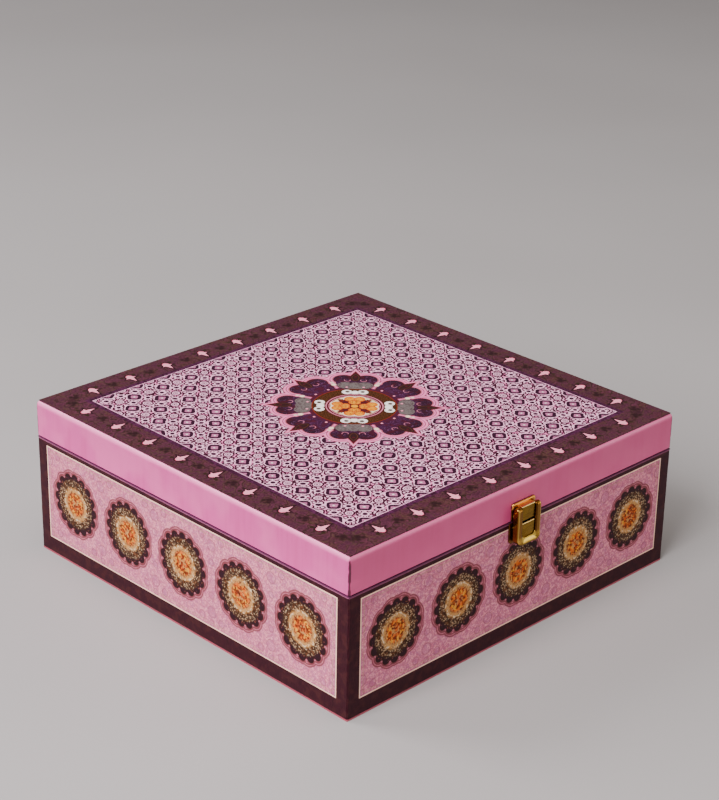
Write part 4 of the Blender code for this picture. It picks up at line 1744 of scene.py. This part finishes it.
@dataclass
class ClaspFrame:
    """The clasp's turning frame: two half-round rails joined by a scooped lip.

    Its section is carried along a U, from the top of one rail round the lip to the top of the
    other. The tops are rounded about the pin.
    """

    low: Vector
    high: Vector
    pin: Vector
    face: float
    rail_width: float = 0.0041
    outer_corner: float = 0.0042
    inner_corner: float = 0.0030
    lip_height: float = 0.0040
    lip_back: float = 0.0056
    lip_edge: float = 0.00595
    lip_curve: float = 1.15
    lip_top: float = 0.0048
    lip_blend: float = 0.0040
    outer_round: float = 0.0008
    inner_round: float = 0.0008
    lip_round: float = 0.0013
    least_wall: float = 0.00035
    seat_blend: float = 0.0003
    bore: float = 0.0008
    bore_steps: int = 32
    knuckle_steps: int = 10
    rail_steps: int = 14
    bend_steps: int = 16
    across_steps: int = 26
    sharp: float = 40.0

    def path(self) -> tuple[np.ndarray, np.ndarray, np.ndarray]:
        """Walks the U.

        Returns:
            The outer edge and the inner edge as (x, z), and the angle about the pin in radians,
            which is 0 below it.
        """
        turn = np.radians(np.linspace(90, 0, self.knuckle_steps))
        knuckle = self.pin.z + (self.high.z - self.pin.z) * np.sin(turn)
        share = np.linspace(0, 1, self.rail_steps)[1:-1]
        bend = arc(180, 270, self.bend_steps)
        edges = (
            (self.high.x, self.outer_corner, self.low.z + self.outer_corner),
            (
                self.high.x - self.rail_width,
                self.inner_corner,
                self.low.z + self.lip_height + self.inner_corner,
            ),
        )
        both = []
        for half, corner, foot in edges:
            rail = np.concatenate([knuckle, self.pin.z + (foot - self.pin.z) * share])
            rail = np.stack([np.full_like(rail, -half), rail], axis=-1)
            line = np.concatenate([rail, bend * corner + [corner - half, foot]])
            other = line[::-1] * np.array([-1, 1])
            lip = line[-1] + (other[0] - line[-1]) * share[:, None]
            both.append(np.concatenate([line, lip, other]))
        side = np.concatenate([turn, np.zeros(len(share) + self.bend_steps + 1)])
        return both[0], both[1], np.concatenate([side, np.zeros(len(share)), side[::-1]])

    def eased(self, across: np.ndarray, width: np.ndarray) -> np.ndarray:
        """How far a rail's rounded edges drop away, as a quarter circle at each edge.

        Args:
            across: Distance from the outer edge.
            width: Distance from the outer edge to the inner one.

        Returns:
            The drop, which is 0 between the rounded edges.
        """
        near = np.clip(self.outer_round - across, 0, None)
        far = np.clip(self.inner_round - (width - across), 0, None)
        drop = self.outer_round - np.sqrt(self.outer_round**2 - near**2)
        return drop + self.inner_round - np.sqrt(self.inner_round**2 - far**2)

    def front(self, height: np.ndarray, share: np.ndarray, width: np.ndarray) -> np.ndarray:
        """Shapes the front: rounded rails that flow into the lip, a curve that rises outwards.

        Args:
            height: Height of the U's outer edge.
            share: How far across the section it is, from 0 at the outer edge to 1.
            width: Distance from the outer edge to the inner one.

        Returns:
            The front's distance out from the box's face.
        """
        across = share * width
        rail = self.high.z - self.pin.z - self.eased(across, width)
        rise = -self.low.y - self.face - self.lip_edge
        lip = self.lip_edge + rise * (1 - share) ** self.lip_curve
        fall = np.clip(self.lip_round - across, 0, None)
        lip = lip - self.lip_round + np.sqrt(self.lip_round**2 - fall**2)
        blend = np.clip((self.low.z + self.lip_top - height) / self.lip_blend, 0, 1)
        blend = blend * blend * (3 - 2 * blend)
        return (-self.pin.y - self.face + rail) * (1 - blend) + lip * blend

    def build(self, name: str) -> bpy.types.Object:
        """Makes the frame, and bores its rails for the pin.

        Each ring runs over the front from the outer edge to the inner one, back behind the lip
        as far as the window's edge, and back behind the rail. Above the pin's height the rings
        turn about the pin.

        Args:
            name: The piece's name.

        Returns:
            The piece.
        """
        outer, inner, angle = self.path()
        width = np.linalg.norm(inner - outer, axis=1)[:, None]
        share = (1 - np.cos(np.linspace(0, np.pi, self.across_steps)))[None, :] / 2
        across = share * width
        front = self.front(outer[:, 1:], share, width)
        at_x, inner_x = np.abs(outer[:, :1]), np.abs(inner[:, :1])
        window = self.high.x - self.rail_width
        step = width * np.clip((at_x - window) / np.maximum(at_x - inner_x, 1e-9), 0, 1)
        wall = np.minimum(self.lip_back, front[:, -1:] - self.least_wall)
        behind, under = width + (step - width) * share, step * (1 - share)
        middle = -self.pin.y - self.face
        seat = middle - (self.high.z - self.pin.z) + self.eased(under, width)
        seat = wall - (wall - seat) * np.clip(step / self.seat_blend, 0, 1)
        out = np.concatenate([front, np.broadcast_to(wall, across.shape), seat], axis=1)
        part = (np.concatenate([across, behind, under], axis=1) / width)[..., None]
        flat = outer[:, None, :] * (1 - part) + inner[:, None, :] * part
        cosine, sine = np.cos(angle)[:, None], np.sin(angle)[:, None]
        knuckle = (angle > 0)[:, None]
        height = np.where(knuckle, self.pin.z + np.abs(out - middle) * sine, flat[..., 1])
        out = np.where(knuckle, middle + (out - middle) * cosine, out)
        rings = np.stack([flat[..., 0], -self.face - out, height], axis=-1)
        return self.bored(skin(name, rings, closed=False, sharp=self.sharp))

    def bored(self, frame: bpy.types.Object) -> bpy.types.Object:
        """Cuts the pin's hole through both rails.

        Args:
            frame: The frame without its hole.

        Returns:
            The same frame with the hole.
        """
        reach = self.high.x * 1.2
        way = arc(0, 360, self.bore_steps)[:-1] * self.bore
        rings = np.empty((2, len(way), 3))
        rings[..., 0] = np.array([-reach, reach])[:, None]
        rings[..., 1] = self.pin.y + way[:, 0]
        rings[..., 2] = self.pin.z + way[:, 1]
        rod = skin("pin_hole", rings, closed=False)
        cut = frame.modifiers.new("Pin hole", "BOOLEAN")
        cut.operation = "DIFFERENCE"
        cut.solver = "EXACT"
        cut.object = rod
        depsgraph = bpy.context.evaluated_depsgraph_get()
        mesh = bpy.data.meshes.new_from_object(frame.evaluated_get(depsgraph))
        frame.modifiers.clear()
        frame.data = mesh
        mesh.set_sharp_from_angle(angle=math.radians(self.sharp))
        bpy.data.meshes.remove(rod.data)
        return frame


@dataclass
class Base:
    """The fixed tray with its boards, side paper and lining."""

    nodes: dict[str, bpy.types.Object]
    upper_turn: float = 0.0007
    lower_turn: float = 0.0004

    def build(self) -> None:
        """Dresses the tray's nodes, and makes its printed side paper."""
        for name, node in self.nodes.items():
            if name.startswith("base_"):
                finish = Fibreboard() if name.endswith("_board") else LiningPaper()
                dress(node, FootPaper() if name == "base_underside_sheet" else finish)
        low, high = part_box("base_side_wrap")
        wrap = PaperWrap(high.x)
        turn, foot = self.upper_turn, self.lower_turn
        line = wrap.section(high.z, low.z, turn, foot, turn * 1.5, turn)
        paper = wrap.build("side_paper", line)
        dress(paper, SidePrint())
        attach(paper, "base")
        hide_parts("base_side_wrap")
        LOG.info("made %s", paper.name)


@dataclass
class Lid:
    """The hinged lid with its boards, rose paper, printed top and lining."""

    nodes: dict[str, bpy.types.Object]
    shoulder: float = 0.0019
    shoulder_fall: float = 0.0034
    lower_turn: float = 0.0004
    turn_in: float = 0.0080

    def build(self) -> None:
        """Dresses the lid's nodes, and makes its rose rim paper."""
        for name, node in self.nodes.items():
            if name.startswith("lid_"):
                finish = Fibreboard() if name.endswith("_board") else LiningPaper()
                dress(node, TopPrint() if name == "lid_top_print" else finish)
        low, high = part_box("lid_rim_wrap")
        wrap = PaperWrap(high.x)
        line = wrap.section(
            high.z, low.z, self.shoulder, self.lower_turn, self.turn_in, self.shoulder_fall
        )
        paper = wrap.build("rim_paper", line)
        dress(paper, RosePaper())
        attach(paper, "lid")
        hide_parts("lid_rim_wrap")
        LOG.info("made %s", paper.name)


@dataclass
class Hinges:
    """The two butt hinges at the back."""

    nodes: dict[str, bpy.types.Object]

    def build(self) -> None:
        """Dresses the hinges' nodes in brass, with a slot across each screw's head."""
        ends = [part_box(f"right_hinge_lid_screw_{end}") for end in (1, 2)]
        first, second = [(low + high) / 2 / MM for low, high in ends]
        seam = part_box("right_hinge_pin")
        middle = (seam[0].z + seam[1].z) / 2 / MM
        slotted = SlottedBrass(
            hinge=(first.x + second.x) / 2,
            apart=abs(first.x - second.x) / 2,
            seam=middle,
            rise=first.z - middle,
        )
        for name, node in self.nodes.items():
            if "hinge" in name:
                dress(node, slotted if "screw" in name else Brass())
        LOG.info("dressed the hinges")


@dataclass
class Clasp:
    """The clasp: two plates with their blocks, the turning frame, its pin and brads."""

    nodes: dict[str, bpy.types.Object]
    pin: Vector
    leaf: float = 0.0009
    ledge_depth: float = 0.0016
    ledge_height: float = 0.0032
    ledge_edge: float = 0.0008
    plate_rise: float = 0.0016
    block_half: float = 0.0056
    keeper_rise: float = 0.0015
    keeper_corner: float = 0.0026
    corner: float = 0.0012
    block_edge: float = 0.00045

    def build(self) -> None:
        """Makes the plates and the frame, and dresses them and the small parts in brass."""
        for name, node in self.nodes.items():
            if "clasp" in name:
                dress(node, Brass())
        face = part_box("lid_rim_wrap")[1].x
        self.add(self.lid_plate(face), BrushedBrass(), "lid", "clasp_lid_plate")
        self.add(self.keeper(face), BrushedBrass(), "base", "clasp_base_plate")
        low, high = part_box("clasp_flap")
        frame = ClaspFrame(low, high, self.pin, face).build("clasp_frame")
        self.add(frame, PaintedLightBrass(), "clasp_flap", "clasp_flap")

    def add(self, piece: bpy.types.Object, finish: Finish, body: str, node: str) -> None:
        """Dresses a brass piece and puts it in place of a node.

        Args:
            piece: The new piece.
            finish: Its finish.
            body: The body that it moves with.
            node: The node that it replaces.
        """
        dress(piece, finish)
        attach(piece, body)
        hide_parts(node)
        LOG.info("made %s", piece.name)

    def lid_plate(self, face: float) -> bpy.types.Object:
        """Makes the plate on the lid, with its ledge and the block between the rails.

        Args:
            face: Distance of the box's front face from the middle.

        Returns:
            The piece.
        """
        low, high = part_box("clasp_lid_plate")
        back = -high.y - face
        plate = BrassPlate(high.x, low.z, high.z, back, self.leaf, upper_corner=self.corner)
        ledge = replace(
            plate, bottom=high.z - self.ledge_height, front=self.ledge_depth, edge=self.ledge_edge
        )
        block = self.block(low.z, high.z - self.plate_rise, back, -low.y - face)
        parts = [part.build("clasp_lid_part", face) for part in (plate, ledge, block)]
        return merged("clasp_lid_hinge_plate", parts)

    def keeper(self, face: float) -> bpy.types.Object:
        """Makes the plate on the base, with the keeper block that the lip passes.

        Args:
            face: Distance of the box's front face from the middle.

        Returns:
            The piece.
        """
        low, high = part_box("clasp_base_plate")
        back = -high.y - face
        plate = BrassPlate(high.x, low.z, high.z, back, self.leaf, self.keeper_corner)
        block = self.block(low.z + self.keeper_rise, high.z, back, -low.y - face)
        parts = [part.build("clasp_keeper_part", face) for part in (plate, block)]
        return merged("clasp_keeper", parts)

    def block(self, bottom: float, top: float, back: float, front: float) -> BrassPlate:
        """The raised block of a plate, from its bottom, top, back and front."""
        return BrassPlate(self.block_half, bottom, top, back, front, edge=self.block_edge)


@dataclass(frozen=True)
class Softbox:
    """A square soft light that points at the box."""

    name: str
    place: tuple[float, float, float]
    size: float
    power: float
    colour: tuple[float, float, float]

    def hang(self) -> None:
        """Hangs the light in the scene."""
        lamp = bpy.data.lights.new(self.name, "AREA")
        lamp.shape = "SQUARE"
        lamp.size = self.size
        lamp.energy = self.power
        lamp.color = self.colour
        light = bpy.data.objects.new(self.name, lamp)
        bpy.context.scene.collection.objects.link(light)
        light.location = self.place
        light.rotation_euler = (-Vector(self.place)).to_track_quat("-Z", "Y").to_euler()


@dataclass
class Studio:
    """The floor, the soft lights and the camera.

    The two edge lights stand where the lid's rounded edges mirror them to the camera, and the
    front one where the clasp's lip does.
    """

    softboxes: tuple[Softbox, ...] = (
        Softbox("key", (-1.75, -0.35, 1.45), 1.3, 84.0, (1.0, 0.95, 0.98)),
        Softbox("left_edge", (-0.92, 1.46, 1.44), 0.9, 30.0, (1.0, 0.96, 0.98)),
        Softbox("right_edge", (1.44, -0.92, 1.46), 0.9, 2.4, (1.0, 0.86, 0.78)),
        Softbox("front", (1.42, -1.62, 0.58), 1.0, 8.0, (1.0, 0.94, 0.80)),
        Softbox("rear", (0.1, 2.0, 0.7), 1.0, 3.0, (1.0, 0.92, 0.94)),
        Softbox("top", (-0.2, -0.5, 2.3), 1.4, 23.0, (1.0, 0.97, 0.94)),
    )
    room_colour: Colour = (1.0, 0.94, 0.92, 1.0)
    room_strength: float = 0.15
    floor_half: float = 6.0
    floor_steps: int = 13
    floor_drop: float = 0.0001
    camera_place: tuple[float, float, float] = (-0.83163, -0.84055, 0.63354)
    azimuth: float = -44.83863
    elevation: float = 23.98407
    roll: float = 1.10504
    lens: float = 93.904
    clip: Point = (0.05, 50.0)

    def build(self) -> None:
        """Builds the studio."""
        self.floor()
        for softbox in self.softboxes:
            softbox.hang()
        self.room()
        self.camera()
        LOG.info("built the studio")

    def floor(self) -> None:
        """Makes the pale floor, a flat grid."""
        steps = np.linspace(-self.floor_half, self.floor_half, self.floor_steps)
        x, y = np.meshgrid(steps, steps)
        points = np.stack([x, y, np.full_like(x, -self.floor_drop)], axis=-1)
        count = len(steps)
        corner = (np.arange(count - 1)[:, None] * count + np.arange(count - 1)).ravel()
        faces = np.stack([corner, corner + 1, corner + count + 1, corner + count], axis=-1)
        mesh = bpy.data.meshes.new("floor")
        mesh.from_pydata(points.reshape(-1, 3).tolist(), [], faces.tolist())
        floor = bpy.data.objects.new("floor", mesh)
        bpy.context.scene.collection.objects.link(floor)
        dress(floor, PaleFloor())

    def room(self) -> None:
        """Fills the room with dim light."""
        world = bpy.data.worlds.new("room")
        bpy.context.scene.world = world
        world.use_nodes = True
        ground = world.node_tree.nodes["Background"]
        ground.inputs["Color"].default_value = self.room_colour
        ground.inputs["Strength"].default_value = self.room_strength

    def camera(self) -> None:
        """Stands the camera where the photograph was taken from."""
        azimuth, elevation, roll = np.radians([self.azimuth, self.elevation, self.roll])
        back = Vector(
            (
                math.sin(azimuth) * math.cos(elevation),
                -math.cos(azimuth) * math.cos(elevation),
                math.sin(elevation),
            )
        )
        right = Vector((math.cos(azimuth), math.sin(azimuth), 0.0))
        up = back.cross(right)
        turned_right = right * math.cos(roll) + up * math.sin(roll)
        turned_up = up * math.cos(roll) - right * math.sin(roll)
        data = bpy.data.cameras.new("camera")
        data.lens = self.lens
        data.clip_start, data.clip_end = self.clip
        camera = bpy.data.objects.new("camera", data)
        bpy.context.scene.collection.objects.link(camera)
        axes = Matrix((turned_right, turned_up, back)).transposed().to_4x4()
        camera.matrix_world = Matrix.Translation(self.camera_place) @ axes
        bpy.context.scene.camera = camera


def main() -> None:
    """Builds the dressed box and its studio."""
    logging.basicConfig(level=logging.INFO, format="%(name)s: %(message)s")
    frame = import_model()
    nodes = frame["nodes"]
    joints = {joint["name"]: joint for joint in frame["joints"]}
    Base(nodes).build()
    Lid(nodes).build()
    Hinges(nodes).build()
    Clasp(nodes, Vector(joints["clasp_hinge"]["pos_m"])).build()
    Studio().build()


if __name__ == "__main__":
    main()
